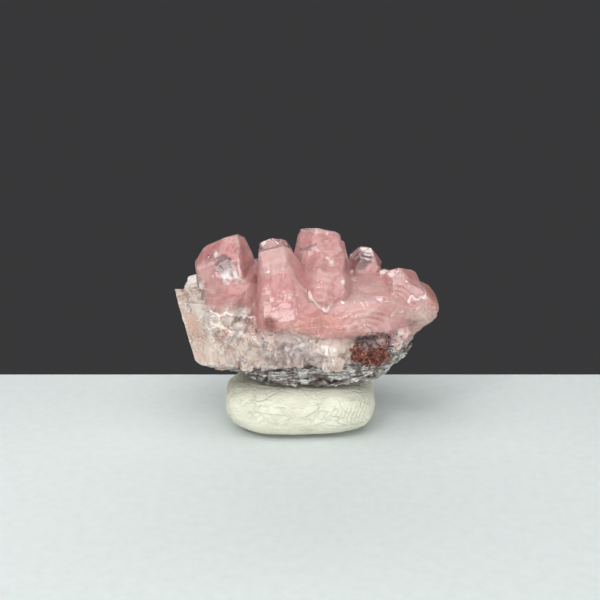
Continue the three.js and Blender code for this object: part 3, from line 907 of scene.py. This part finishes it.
BROKEN_BLOCKS = [
    ((-9.2, -4.2, 12.0), [
        (338, -4, 3.1), (12, -14, 3.2), (296, -4, 2.2), (58, -14, 2.8), (340, 44, 3.4), (30, 56, 3.2),
        (350, -48, 4.3), (180, 0, 2), (0, -90, 4.6),
    ]),
    ((-6.4, -4.4, 10.4), [
        (340, -2, 3.1), (18, -12, 3.0), (292, -8, 2.4), (344, 46, 3.7), (30, 50, 3.4), (66, -10, 2.0),
        (356, -44, 4.0), (180, 0, 2), (0, -90, 2.5),
    ]),
    ((2.5, -5.2, 9.8), [
        (346, -2, 2.5), (20, -10, 2.4), (300, -4, 2.0), (352, 48, 2.7), (78, -10, 2.0), (270, -6, 2.1),
        (0, -46, 2.9), (180, 0, 2), (0, -90, 1.9),
    ]),
    ((10.2, -3.4, 11.0), [
        (4, 4, 2.5), (38, -16, 2.3), (330, 4, 2.5), (16, 50, 2.5), (82, -38, 1.1), (280, 0, 2.0),
        (10, -50, 2.2), (180, 0, 2), (0, -90, 1.8),
    ]),
    ((-1.9, -4.8, 9.6), [
        (344, -6, 2.9), (16, -10, 2.7), (300, -6, 1.9), (350, 50, 3.0), (64, -8, 2.2), (0, -44, 3.2),
        (180, 0, 2), (0, -90, 1.7),
    ]),
]

# Soft spots of each tone: its strength, its centre and its radii, and where the spot is uneven, how:
# the least and the spread of the unevenness, its wavelength and its seed.
SPOTS = {
    "low": [(0.5, (13.4, -3.0, 13.6), (2.8, 5.0, 2.6))],
    "peach": [
        (1, (-13.3, -4.2, 12.4), (2.4, 3.8, 4.6), (0.8, 0.7, 1.4, 72)),
        (0.4, (14.6, -2.0, 15.4), (1.6, 4.0, 2.2)),
        (0.3, (0.8, -6.5, 13.8), (6.5, 3.0, 1.8)),
    ],
    "lilac": [(1, (-2.0, -7.3, 10.4), (4.6, 3.0, 2.6))],
    "coral": [(1, (-9.4, -0.6, 21.2), (3.6, 4.5, 1.8)), (0.8, (-3.9, 1.0, 21.8), (2.4, 3.5, 1.4))],
    "white": [
        (0.2, (2.4, -7.5, 11.1), (1.9, 1.8, 2.2)),
        (0.5, (10.8, -5.5, 12.2), (1.3, 1.6, 1.1), (0.7, 1, 0.9, 85)),
        # Painted highlight on a small bright facet at the right.
        (1, (10.0, -4.5, 15.1), (1.1, 1.0, 0.6)),
        (1, (-13.8, 0.3, 17.0), (1.8, 3.0, 1.3)),
        # Painted light on the shoulder between the tallest and the stepped crystal.
        (0.12, (6.4, -3.2, 17.0), (3.2, 3.6, 2.0)),
        (0.8, (-7.4, -6.8, 15.2), (1.9, 1.5, 0.6)),
        # Painted highlights under the bright facet at the right.
        (0.8, (10.0, -5.6, 14.8), (1.3, 2.0, 0.7), (0, 1.6, 0.7, 84)),
        # Small painted glints.
        *[(1, place, (size, 2.0, size)) for place, size in [
            ((-10.7, -2.6, 21.0), 0.35), ((1.6, -4.0, 20.8), 0.4), ((2.7, -4.0, 20.3), 0.5),
            ((2.2, -4.0, 20.6), 0.3), ((4.0, -5.2, 18.4), 0.4),
        ]],
    ],
    # Dark windows: the dark backdrop painted in where it would be seen through clear calcite, and real dark
    # speckles at the left crystal's side.
    "window_dark_and_specks": [
        (0.7, (-3.4, 0.8, 21.3), (1.5, 1.6, 0.6), (0.6, 1, 0.6, 73)),
        (0.8, (-11.8, -2.4, 20.6), (0.7, 1.2, 0.7), (0.4, 1.5, 0.4, 74)),
        (0.35, (-7.6, -2.6, 21.2), (0.7, 1.2, 0.6)),
    ],
    "speckle": [
        (1, (-11.6, -2.6, 20.9), (0.8, 2.0, 0.9), (0, 2.2, 0.45, 74)),
        (0.7, (-8.3, -2.6, 21.6), (0.7, 2.0, 0.7), (0, 1.6, 0.4, 79)),
        (0.7, (1.0, -3.4, 20.9), (0.8, 2.0, 0.5), (0.5, 1, 0.5, 86)),
    ],
    "veil_and_painted_light": [
        (0.8, (1.8, -3.6, 20.6), (1.8, 2.0, 1.0)),
        (0.6, (10.4, -5.4, 16.6), (1.8, 2.6, 1.4)),
        (0.4, (5.2, -7.0, 15.6), (2.6, 2.6, 0.9)),
        (1, (10.6, -5.6, 14.6), (1.9, 2.6, 1.0)),
        (1, (-11.0, -4.8, 17.2), (1.9, 3.0, 1.2)),
        (0.8, (2.0, -6.0, 15.8), (2.4, 3.0, 1.0)),
        # Painted light: the shoulder between the tallest and the stepped crystal is made lighter where it
        # lies in shade between them.
        (1.3, (6.4, -3.2, 16.6), (4.2, 3.6, 2.4)),
    ],
    "pit": [(1, (-9.4, -6.7, 13.4), (1.2, 1.8, 1.9))],
    "rose": [(0.8, (-4.4, -7.5, 14.2), (1.1, 1.2, 1.1))],
    "dark": [
        (1, (-4.6, -7.3, 12.8), (1.5, 1.4, 0.5), (0.3, 1.4, 1.1, 71)),
        (0.45, (-4.35, -7.6, 14.35), (0.4, 1.0, 0.18)),
        (1, (-6.0, -7.0, 8.3), (0.6, 1.2, 0.4)),
        (1, (9.6, -6.5, 12.0), (0.3, 1.0, 0.25)),
        (1, (11.3, -6.0, 11.1), (0.35, 1.0, 0.4)),
    ],
    "rust": [
        (1, (7.0, -7.6, 11.2), (2.9, 1.8, 2.0), (0.35, 1.1, 1.1, 71)),
        (1, (9.7, -6.3, 11.8), (1.7, 2.2, 1.0), (0.1, 1.8, 0.6, 83)),
    ],
    "grains": [(1, place, (size, 1.6, 0.7 * size)) for place, size in [
        ((6.0, -7.2, 12.2), 0.8), ((7.2, -6.9, 12.5), 0.9), ((8.3, -6.6, 12.7), 0.7),
        ((9.7, -6.2, 11.7), 0.4), ((-6.0, -7.2, 8.4), 0.6), ((11.3, -6.0, 11.1), 0.5),
        ((9.5, -6.2, 10.6), 0.7),
    ]],
}

# Shapes drawn on the best face, each through its (x, z) corners.
DARK_WINDOW_PANE = [(-10.9, 20.4), (-10.0, 17.9), (-7.7, 18.2), (-8.2, 19.2), (-9.1, 21.0), (-10.5, 21.1)]
PANE_SHINE = [(-10.1, 18.9), (-9.9, 17.9), (-7.7, 18.2), (-8.2, 19.2), (-8.7, 19.5)]
CLEAR_PANE = [(5.8, 20.2), (5.7, 18.3), (6.6, 18.2), (7.7, 19.4), (7.7, 20.2), (6.8, 20.8)]
SMALL_PANE = [(0.4, 21.1), (0.7, 20.8), (1.5, 20.4), (1.6, 21.3)]
FRONT_FACET = [(-5.7, 21.5), (-5.3, 19.2), (-1.9, 20.0), (-2.5, 22.2)]
TALLEST_TOP = [(-1.2, 21.2), (-0.1, 21.6), (0.8, 22.0), (2.6, 22.6), (4.3, 22.4), (4.2, 23.8), (0.9, 24.2),
               (-1.2, 23.0)]

# Grooves in the broken part, painted as dark lines of shade: the path, the width and the depth, which sets
# how dark the painted shade is.
SMOOTH_GROOVE = ([(-8.9, 12.5), (-8.0, 13.2), (-7.2, 13.5), (-5.8, 13.7)], 0.2, 0.9)
RAGGED_GROOVES = [
    ([(-5.9, 13.4), (-5.3, 12.3), (-5.0, 10.8), (-4.5, 9.3)], 0.5, 1.0),
    ([(-3.9, 12.6), (-3.5, 11.4), (-3.2, 9.8)], 0.35, 0.9),
    ([(-2.2, 12.2), (-1.6, 10.8), (-1.8, 9.4)], 0.3, 0.9),
]

# How high the rock crust reaches on the front of the low calcite.
CRUST_EDGE_X = (-9, -6, -3, 1, 3, 4.6, 6, 8, 11)
CRUST_EDGE_Z = (8.0, 8.4, 8.7, 8.9, 8.0, 7.5, 9.0, 9.9, 10.8)


def limited(values):
    return np.clip(values, 0, 1)


def uneven(points, least, spread, wavelength, seed):
    return limited(least + spread * waves(points, wavelength, seed))


def spotted(points, spots):
    """The strongest of some soft spots at each point."""
    total = np.zeros(len(points))
    for strength, centre, radii, *unevenness in spots:
        value = strength * spot(points, centre, radii)
        for how in unevenness:
            value = value * uneven(points, *how)
        total = np.maximum(total, value)
    return total


def marks(points):
    """How much of each tone the calcite has at each point, from 0 to 1."""
    x, y, z = points.T
    rough = waves(points, 1.1, 71)
    height = z - LIFT
    front = limited((-2.6 - y) / 0.3)
    tones = {name: spotted(points, spots) for name, spots in SPOTS.items()}
    most = np.maximum.reduce

    below = limited((13.0 - 0.10 * x - height + 0.5 * waves(points, 4, 33)) / 1.6)
    corner = limited(-6.4 - x + 0.35 * (height - 14) + 0.3 * rough)
    corner *= limited((15.9 - height + 0.4 * rough + 2.0 * limited(-11.2 - x)) / 1.2)
    low = most([below, corner, tones["low"]])

    wander = points + 0.16 * np.stack([waves(points, 0.8, 121 + k, 8) for k in range(3)], 1)
    clear_side = limited((3.2 - y) / 0.3)
    # Painted darkness where the dark backdrop would show through clear windows, with real dark specks.
    window_dark_and_specks = most([tones["window_dark_and_specks"], 0.85 * patch(wander, DARK_WINDOW_PANE, 0.2) * front,
                  0.9 * patch(points, CLEAR_PANE, 0.25) * clear_side, patch(points, SMALL_PANE) * front])
    shine = patch(wander, PANE_SHINE, 0.7) * uneven(points, 0.75, 0.8, 0.7, 124) * front
    # Painted light: the tallest crystal's top and the front crystal's flat facet are made lighter, as where
    # light falls on them.
    top = patch(points, TALLEST_TOP, 0.2)
    veil_and_painted_light = most([tones["veil_and_painted_light"], 0.7 * patch(points, FRONT_FACET, 0.25) * front, top])
    pit = tones["pit"]
    white = most([tones["white"], shine, 0.2 * top, 0.8 * pit * uneven(points, -0.8, 2.0, 0.4, 77)])
    rose = most([tones["rose"], pit * uneven(points, 0.45, 1.2, 0.45, 76)])

    line = stroke(points, [(-1.0, 21.1), (-0.1, 21.5), (0.9, 22.0)], 0.2)
    line = most([line, 0.5 * stroke(points, [(0.9, 22.0), (1.7, 22.3), (2.6, 22.5)], 0.15)])
    line *= limited((0.8 - y) / 0.4)
    path, width, depth = SMOOTH_GROOVE
    # Painted shade in the rib hollows, along the grooves and in thin creases of the cream part.
    hollow = most([
        limited(ribs(points, (-2.6, -7.3, 10.4), (4.0, 3.0, 3.2)) * 2.2 - 1.1),
        depth * stroke(points, path, width) * front,
        0.7 * limited(1 - 5 * np.abs(waves(points, 1.9, 75))) * low,
    ])
    ragged = uneven(points, 0.9, 1.2, 0.6, 80)
    for path, width, depth in RAGGED_GROOVES:
        hollow = np.maximum(hollow, depth * stroke(points, path, width) * front * ragged)

    sparse = 0.5 * np.maximum(tones["dark"], tones["rust"]) + 0.01 * low * limited(8.2 - height + rough)
    crust_edge = np.interp(x, CRUST_EDGE_X, CRUST_EDGE_Z) + 0.25 * waves(points, 1.3, 78)
    return {
        **{name: tones[name] for name in ("peach", "lilac", "coral", "dark", "rust")},
        "low": low, "window_dark_and_specks": window_dark_and_specks, "veil_and_painted_light": limited(veil_and_painted_light), "white": white, "rose": rose,
        # shade: the painted shade of the hollows, and the real dark line and speckles.
        "shade": most([hollow * low, line, tones["speckle"]]),
        "grains": np.maximum(tones["grains"], sparse),
        "crusted": limited((crust_edge - z) / 0.25) * limited(-3.0 - y),
    }


# The broken edges and ripples of the best face, raised and given a painted highlight: (x, z) paths and their
# widths.
STRONG_LINES = [
    ([(0.1, 17.2), (0.4, 16.6), (1.4, 15.7), (2.1, 15.4), (2.7, 15.9)], 0.22),
    ([(11.5, 16.0), (11.9, 16.4), (12.6, 16.2), (13.3, 16.1), (13.8, 16.7), (14.1, 16.9)], 0.20),
    ([(-11.0, 15.9), (-9.8, 15.3), (-9.2, 15.8), (-7.5, 14.8), (-6.0, 14.2)], 0.13),
    ([(-9.8, 15.3), (-10.4, 13.9), (-11.2, 13.4)], 0.12),
    ([(-7.2, 13.6), (-8.0, 12.7), (-8.6, 12.9)], 0.12),
]
SOFT_LINES = [
    ([(-0.9, 18.6), (-0.4, 17.6), (0.1, 17.2)], 0.14),
    ([(2.7, 15.9), (3.1, 16.8), (3.9, 17.2)], 0.14),
    ([(-3.3, 17.5), (-2.6, 17.3), (-2.0, 17.6), (-1.5, 17.3)], 0.12),
    ([(-4.6, 18.4), (-4.3, 17.7), (-4.2, 17.2)], 0.12),
    ([(-12.2, 14.8), (-11.2, 13.4), (-10.6, 12.3), (-10.8, 10.6), (-9.8, 9.2), (-8.8, 8.8)], 0.13),
    ([(-9.6, 12.0), (-9.1, 10.9), (-9.3, 9.9)], 0.12),
    ([(-12.4, 14.9), (-11.0, 15.2), (-9.8, 15.3)], 0.10),
    ([(-8.0, 12.6), (-6.8, 12.9), (-5.9, 13.6)], 0.11),
    ([(0.2, 14.6), (1.6, 14.9), (3.4, 14.7), (4.8, 15.0)], 0.13),
    ([(3.4, 13.6), (4.6, 14.1), (6.2, 14.1), (7.2, 13.6)], 0.13),
]


def bright_lines(points):
    """The strong and the soft painted highlight lines, where they show on the best face."""
    front = limited((-3.2 - points[:, 1]) / 0.6)
    wander = points + 0.10 * np.stack([waves(points, 0.9, 111 + k, 8) for k in range(3)], 1)
    return [front * np.maximum.reduce([stroke(wander, path, width) for path, width in lines])
            for lines in (STRONG_LINES, SOFT_LINES)]


def rippled(points):
    """Where each set of ripples shows."""
    return {
        "ripples_stepped": spot(points, (10.4, -4.6, 17.4), (2.2, 3.2, 2.4)),
        "ripples_belt": spot(points, (6.2, -7.0, 14.6), (4.4, 3.4, 1.7)),
        "ripples_facet": 0.6 * spot(points, (-3.8, -5.6, 20.4), (2.0, 2.2, 1.5)),
        "ripples_swell": 0.7 * spot(points, (1.4, -6.0, 17.8), (2.2, 2.4, 2.0)),
    }


def ribs(points, centre, radii):
    """Upright ribs, as on a surface broken across its cleavage."""
    wander = points[:, 0] + 0.35 * waves(points, 2.0, 97)
    return spot(points, centre, radii) * np.abs(np.sin(math.pi * wander / RIB_SPACING))


def kept_smooth(points, azimuth, elevation, margin, reach, least):
    """Small near the body's own face on this side, and 1 away from it."""
    side = points @ direction(azimuth, elevation)
    return np.clip((side.max() - side - margin) / reach, least, 1)


def broken_relief(points, normals, low):
    """The broken and cleaved faces of the massive part, and the painted highlight on its crests."""
    coarse, rim = facets(points, normals, size=2.6, slope=0.24, seed=5)
    medium, fine_rim = facets(points, normals, size=1.2, slope=0.14, seed=6)
    cleaved = kept_smooth(points, azimuth=267, elevation=-14, margin=0.25, reach=0.9, least=0.06)
    cleaved *= kept_smooth(points, azimuth=88, elevation=-41, margin=0.2, reach=0.8, least=0.2)
    cleaved *= np.clip((points[:, 0] + 12.0) / 1.5, 0.15, 1)
    relief = (coarse + medium) * (0.02 + 0.98 * low)
    across, up = points[:, 0] - FAN_HEART[0], points[:, 2] - FAN_HEART[1]
    fan = np.stack([3.0 * np.arctan2(across, -up), 0.16 * np.hypot(across, up), 0 * up], 1)
    broad, narrow = (limited(1 - 3.5 * np.abs(waves(fan, wavelength, seed))) ** 2
                     for wavelength, seed in ((1.6, 98), (0.8, 99)))
    crests = np.maximum(broad, 0.7 * narrow) * uneven(points, 0.6, 1, 1.8, 100)
    relief += 0.06 * crests * low
    ribbed = (-1.6, -7.3, 10.2), (5.0, 3.0, 3.0)
    relief += 0.18 * (ribs(points, *ribbed) - 0.4 * spot(points, *ribbed))
    # The painted highlight on the facets' ridges and on the crests.
    bright = np.maximum(0.3 * np.maximum(rim, 0.7 * fine_rim), 0.8 * crests ** 2)
    return relief * cleaved, bright * low


def lifted(block):
    return Block(block.heart + np.array([0, 0, LIFT]), block.normals, block.reaches, block.rounding)


def cloudy_root(block, rng, height):
    """The milky part inside a crystal, up to a share of its size above its heart."""
    inner = block.moved(-rng.uniform(0.10, 0.16))
    return inner.with_face(direction(rng.uniform(0, 360), rng.uniform(50, 85)), height * block.size)


# How strongly the painted highlight on a block's own edges shows. Those of the cleaved corner show it in
# full.
MASSIVE_EDGE = 0.5
CRYSTAL_EDGE = 0.9
LAYER_EDGE = 0.3
CLEARNESS = 0.965       # how clear the pink crystals are
CREAM_DULLNESS = 0.62   # and how much less clear the cream part is
CLOUD_DEPTH = 0.15      # how far under the massive part's surface its milky part starts
CLOUD_HEIGHTS = {"clear": 0.85, "behind": 0.7}   # of the milky parts, where they aren't the usual
USUAL_CLOUD_HEIGHT = 0.95


def make_crystals(crystals, rng):
    """The clear calcite: the massive part and the crystals with their growth layers."""
    blocks = list(massive)
    edge_shares = [MASSIVE_EDGE] + [1.0] * len(CLEAVED_CORNER) + [MASSIVE_EDGE] * len(BROKEN_BLOCKS)
    for block in crystals:
        layers = growth_layers(block, rng)
        blocks += [block, *layers]
        edge_shares += [CRYSTAL_EDGE] + [LAYER_EDGE] * len(layers)
    body = Body(blocks)
    quads, points, normals, owners = body.surface(CRYSTAL_CELL)
    tones = marks(points)
    low = tones["low"]
    # Where the edges get a painted highlight: whiter and a little less clear.
    steps, edge = growth_steps(points, owners, body.blocks, 61)
    relief, rim = broken_relief(points, normals, low)
    strong, soft = bright_lines(points)
    relief += 0.12 * strong + 0.06 * soft + 0.009 * waves(points, 1.9, 3)
    relief -= 0.05 * tones["shade"] * (1 - low)
    relief -= 0.14 * tones["dark"] + 0.12 * tones["rose"] * limited(waves(points, 0.5, 95))
    marked = (tones["dark"] + (1 - low) * tones["shade"] > 0.03) & (normals[:, 1] < 0)
    points = points + normals * (relief - 0.03)[:, None]
    # The bright lines' painted highlights go into the white tone.
    tones["white"] = np.maximum.reduce([tones["white"], limited(1.6 * strong), 0.35 * soft])
    # The owners count no empty block. After one, a block has the share of the block before it in the
    # list, and the looks were set with that.
    edge *= np.array(edge_shares)[owners]
    clear = CLEARNESS - CREAM_DULLNESS * low
    attributes = dict(tones, **rippled(points), clear=clear, edge=edge, steps=steps, rim=rim)
    crystals = mesh_object("calcite_crystals", boxed(points), quads, crystal_material(), attributes)
    return thinned(crystals, kept=(strong + soft > 0) | marked)


def make_clouds(leading, small, rng):
    """The milky calcite inside the massive part and inside each crystal."""
    blocks = [block.moved(-CLOUD_DEPTH) for block in massive]
    for name, block in leading.items():
        blocks.append(cloudy_root(block, rng, CLOUD_HEIGHTS.get(name, USUAL_CLOUD_HEIGHT)))
    for block in small:
        blocks.append(cloudy_root(block, rng, rng.uniform(0.3, 0.7)))
    body = Body(blocks, rounding=0.05)
    quads, points, normals, owners = body.surface(CLOUD_CELL)
    tones = marks(points)
    low = tones["low"]
    # Where the milky part's edges get a painted highlight.
    steps, edge = growth_steps(points, owners, body.blocks, 62, edge_reach=0.11)
    relief, _ = broken_relief(points, normals, low)
    dents, _ = facets(points, normals, size=1.8, slope=0.10, seed=24)
    relief += dents - 0.08 + 0.07 * waves(points, 1.6, 23)
    points = points + normals * (relief - 0.05)[:, None]
    attributes = dict(tones, **rippled(points), steps=steps, edge=limited(2 * edge) * (1 - 0.6 * low))
    return thinned(mesh_object("calcite_clouds", boxed(points), quads, cloud_material(), attributes))


rng = np.random.default_rng(12)
leading = {name: lifted(faced_block(*spec, ROUNDED.get(name, EDGE_ROUNDING)))
           for name, spec in LEADING_CRYSTALS.items()}
small = [lifted(block) for row in ROWS for block in row_of_crystals(**row)]
massive = [lifted(faced_block(BODY_HEART, MASSIVE_FACES))]
massive += [lifted(faced_block(*spec)) for spec in CLEAVED_CORNER + BROKEN_BLOCKS]
calcite = make_crystals([*leading.values(), *small], rng)
clouds = make_clouds(leading, small, rng)

# ---------- the rock crust ----------

ROCK_CRUST = [
    (0, -20, 7.9), (35, -24, 9.6), (88, -41, 10.9), (135, -24, 9.4), (180, -20, 7.6),
    (225, -34, 9.3), (270, -47, 9.4), (315, -34, 9.5), (0, -90, 5.9), (270, 84, -3.2),
]
STRATUM = 0.55


def make_crust():
    """Layered rock, with hollows low down and a slanting slab at the right."""
    body = Body([lifted(faced_block(BODY_HEART, ROCK_CRUST))], rounding=0.2)
    quads, points, normals, _ = body.surface(CRUST_CELL)
    x, _, z = points.T
    layer = z - 0.10 * x + 0.35 * waves(points, 3.0, 43)
    strata = 0.10 * (np.abs(((layer / STRATUM) % 1) - 0.5) * 2 - 0.5)
    coarse, _ = facets(points, normals, size=1.5, slope=0.30, seed=44)
    medium, _ = facets(points, normals, size=0.6, slope=0.30, seed=45)
    hollows = waves(points * (0.35, 0.35, 1.1), 0.9, 46) + 0.6 * waves(points, 0.5, 49)
    hollows = limited(hollows - 0.3) * limited((7.3 - z) / 0.7)
    relief = coarse + medium + strata + 0.06 * waves(points, 1.4, 41) - 0.5 * hollows
    points = points + normals * (relief - 0.1)[:, None]
    attributes = {
        "hollow": limited(hollows * 2.2), "ridge": limited(0.5 + (relief - coarse) * 2.5),
        "slab": limited((points[:, 0] - 3.6 + 0.5 * waves(points, 2.0, 48)) / 0.8),
        "rust": spot(points, (8.6, -5.8, 8.6), (2.4, 2.5, 1.3)) * uneven(points, 0.4, 1, 0.8, 47),
    }
    return mesh_object("rock_crust_surface", points, quads, crust_material(), attributes)


crust = make_crust()

# ---------- the oxide nodule ----------

OXIDE_NODULE = ((6.9, -7.3, 10.1), [
    (5, 4, 0.9), (340, -30, 1.1), (90, 20, 2.1), (270, -10, 2.0), (0, 85, 1.2), (300, 50, 1.6),
    (60, 60, 1.8), (0, -85, 1.3), (60, -40, 1.8), (290, -50, 1.7), (180, 0, 0.8),
])


def make_nodule():
    body = Body([lifted(faced_block(*OXIDE_NODULE))], rounding=0.2)
    quads, points, normals, _ = body.surface(NODULE_CELL)
    coarse, _ = facets(points, normals, size=0.8, slope=0.7, seed=53)
    relief = coarse + 0.16 * waves(points, 1.1, 51) + 0.06 * waves(points, 0.45, 52)
    points = points + normals * (relief - 0.1)[:, None]
    grey = limited(spot(points, (6.6, -7.6, 11.9), (2.0, 2.0, 0.9)) * 1.5) * uneven(points, 0.6, 1, 0.7, 54)
    return mesh_object("oxide_patch", points, quads, oxide_material(), {"grey": grey})


oxide = make_nodule()

# ---------- the dark grains ----------

def grain_tree(material):
    """Uneven grains scattered over a surface, as thick as its "grains" attribute says."""
    tree = bpy.data.node_groups.new("scattered_grains", "GeometryNodeTree")
    for name, kind in [("Surface", "Geometry"), ("Density", "Float"), ("Smallest", "Float"),
                       ("Largest", "Float"), ("Seed", "Int")]:
        tree.interface.new_socket(name, in_out="INPUT", socket_type="NodeSocket" + kind)
    tree.interface.new_socket("Grains", in_out="OUTPUT", socket_type="NodeSocketGeometry")
    given = tree.nodes.new("NodeGroupInput").outputs

    def add(kind, output, values, **settings):
        return add_node(tree, kind, values, **settings).outputs[output]

    amount = add("GeometryNodeInputNamedAttribute", "Attribute", {"Name": "grains"})
    density = add("ShaderNodeMath", 0, {0: amount, 1: given["Density"]}, operation="MULTIPLY")
    places = add("GeometryNodeDistributePointsOnFaces", "Points",
                 {"Mesh": given["Surface"], "Density": density, "Seed": given["Seed"]})
    ball = add("GeometryNodeMeshIcoSphere", "Mesh", {"Radius": 1.0, "Subdivisions": 2})
    noise = add("ShaderNodeTexNoise", "Color", {"Scale": 1.1})
    pull = add("ShaderNodeVectorMath", 0, {0: noise, 1: (0.5, 0.5, 0.5)}, operation="SUBTRACT")
    pull = add("ShaderNodeVectorMath", 0, {0: pull, "Scale": 1.6}, operation="SCALE")
    grain = add("GeometryNodeSetPosition", "Geometry", {"Geometry": ball, "Offset": pull})
    size = add("FunctionNodeRandomValue", 1,
               {2: given["Smallest"], 3: given["Largest"], "Seed": given["Seed"]}, data_type="FLOAT")
    turn = add("FunctionNodeRandomValue", "Value", {"Max": (2 * math.pi,) * 3}, data_type="FLOAT_VECTOR")
    grains = add("GeometryNodeInstanceOnPoints", "Instances",
                 {"Points": places, "Instance": grain, "Rotation": turn, "Scale": size})
    grains = add("GeometryNodeRealizeInstances", "Geometry", {"Geometry": grains})
    grains = add("GeometryNodeSetMaterial", "Geometry", {"Geometry": grains, "Material": material})
    add_node(tree, "NodeGroupOutput", {"Grains": grains})
    return tree


def scattered(name, surface, material, values):
    """A plain mesh of the grains that the tree scatters over a piece."""
    obj = bpy.data.objects.new(name, surface.data.copy())
    bpy.context.scene.collection.objects.link(obj)
    modifier = obj.modifiers.new("grains", "NODES")
    modifier.node_group = grain_tree(material)
    for socket in modifier.node_group.interface.items_tree:
        if socket.in_out == "INPUT" and socket.name in values:
            modifier[socket.identifier] = values[socket.name]
    mesh = plain_mesh(obj).data
    mesh.materials.clear()
    mesh.materials.append(material)
    mesh.polygons.foreach_set("material_index", np.zeros(len(mesh.polygons), dtype=np.int32))
    return obj


grains = scattered("iron_grains", calcite, grain_material(),
                   {"Density": 3.0e7, "Smallest": 0.04 * MM, "Largest": 0.13 * MM, "Seed": 7})

# ---------- the putty ----------

putty_low, putty_high = (np.array(corner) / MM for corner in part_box("putty_wad"))


def putty_mesh():
    """A squarish oval wad with rounded edges, which fills the solid's box."""
    across, around = 110, 540
    centre = (putty_low + putty_high) / 2
    half = (putty_high - putty_low) / 2
    powered = lambda value, power: np.copysign(np.abs(value) ** power, value)
    v = np.linspace(0, math.pi, across + 1)[:, None]
    a = np.linspace(0, 2 * math.pi, around, endpoint=False)[None, :]
    ring_power, side_power, cap_power = 0.42, 2 / 3, 0.75     # below 1, they make the oval squarish
    ring = np.sin(v) ** ring_power
    points = np.stack([
        half[0] * ring * powered(np.cos(a), side_power),
        half[1] * ring * powered(np.sin(a), side_power),
        -half[2] * powered(np.cos(v), cap_power) * np.ones_like(a),
    ], 2).reshape(-1, 3) + centre
    i, j = (index.ravel() for index in np.mgrid[0:across, 0:around])
    k = (j + 1) % around
    quads = np.stack([i * around + j, i * around + k, (i + 1) * around + k, (i + 1) * around + j], 1)
    return points, quads


def pressed(points):
    """The putty's lumps, creases and finger marks, as a height over the plain wad."""
    x, _, z = points.T
    lumps = 0.16 * waves(points, 9, 101) + 0.06 * waves(points, 3.5, 102)
    wander = points + 0.8 * np.stack([waves(points, 5, 103 + k, 8) for k in range(3)], 1)
    slanting = wander @ (0.62, 0.0, 0.78)
    folded = np.stack([slanting * 3.2, wander[:, 0] * 0.5, wander[:, 1]], 1)
    folds = limited(1 - np.abs(waves(folded, 4, 106)) * 7)
    wrinkled = uneven(points, 0.5, 1.2, 6, 107)
    fine = waves(points @ np.array([[0.7, 0, 0.7], [0, 1, 0], [-1.4, 0, 1.4]]).T, 1.1, 108)
    mark = spot(points, (5.6, -8.2, 3.6), (3.4, 5.0, 3.4))
    arc = np.hypot(x - 14.0, 1.3 * (z - 1.5))
    ridges = np.sin(2 * math.pi * arc / FINGER_RIDGE)
    return lumps - 0.24 * folds * wrinkled + 0.06 * fine * wrinkled + 0.07 * ridges * mark


def make_putty():
    points, quads = putty_mesh()
    outward = (points - (putty_low + putty_high) / 2) / (putty_high - putty_low) ** 2
    outward /= np.linalg.norm(outward, axis=1)[:, None]
    side = limited(np.minimum(points[:, 2] - putty_low[2], putty_high[2] - points[:, 2]) / 1.2)
    points = points + outward * ((pressed(points) - 0.22) * side)[:, None]
    return mesh_object("putty", boxed(points), quads, putty_material())


putty = make_putty()

# ---------- floor, light and camera ----------

def make_floor():
    side, front, back = 70.0, -120.0, 12.5
    points = np.array([(-side, front, 0), (side, front, 0), (side, back, 0), (-side, back, 0)])
    return mesh_object("floor", points, np.array([[0, 1, 2, 3]]), floor_material())


floor = make_floor()


def area_light(name, place, aim, size, power):
    data = bpy.data.lights.new(name, "AREA")
    data.shape = "RECTANGLE"
    data.size, data.size_y = size[0] * MM, size[1] * MM
    data.energy = power
    light = bpy.data.objects.new(name, data)
    bpy.context.scene.collection.objects.link(light)
    light.location = Vector(place) * MM
    way = Vector((0, 0, aim)) - Vector(place)
    light.rotation_euler = way.to_track_quat("-Z", "Y").to_euler()


# name, place, height of the point that it shines at, size, power in watts
for light in [
    ("overhead", (-30, -60, 210), 12, (300, 260), 0.49),
    ("front_fill", (20, -250, 92), 10, (300, 70), 0.15),
    ("low_fill", (0, -160, 12), 3, (260, 22), 0.11),
    ("left_side", (-200, -60, 60), 12, (140, 160), 0.13),
    ("right_side", (200, -60, 60), 12, (140, 160), 0.18),
    ("key", (-110, -150, 170), 14, (40, 25), 0.10),
    ("back_rim", (0, 220, 150), 15, (300, 60), 0.25),
]:
    area_light(*light)

world = bpy.data.worlds.new("studio")
bpy.context.scene.world = world
world.use_nodes = True
world.node_tree.nodes["Background"].inputs["Color"].default_value = (0.04, 0.04, 0.042, 1)
world.node_tree.nodes["Background"].inputs["Strength"].default_value = 1.0

VIEW_TARGET = (-0.96, 0.0, 14.6)
VIEW_ELEVATION = 17.5
VIEW_DISTANCE = 120.0
LENS, SENSOR = 60.0, 36.0
NEAREST_SEEN, FARTHEST_SEEN = 0.005, 5.0    # in metres
camera_data = bpy.data.cameras.new("camera")
camera_data.lens = LENS
camera_data.sensor_width = SENSOR
camera = bpy.data.objects.new("camera", camera_data)
bpy.context.scene.collection.objects.link(camera)
back = Vector(direction(0, VIEW_ELEVATION))
camera.location = (Vector(VIEW_TARGET) + back * VIEW_DISTANCE) * MM
camera.rotation_euler = (-back).to_track_quat("-Z", "Y").to_euler()
camera_data.clip_start = NEAREST_SEEN
camera_data.clip_end = FARTHEST_SEEN
bpy.context.scene.camera = camera
bpy.context.scene.view_settings.view_transform = "Standard"

# ---------- each piece goes under the root body, and the solids it stands for are hidden ---

for piece, slot, nodes in [
    (calcite, "pink_calcite", ["calcite"]),
    (clouds, "pink_calcite", ["calcite"]),
    (oxide, "iron_oxide", ["oxide_nodule"]),
    (grains, "iron_oxide", ["oxide_nodule"]),
    (crust, "host_rock", ["rock_crust"]),
    (putty, "putty", ["putty_wad"]),
]:
    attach(piece, "root")
    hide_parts(*nodes)
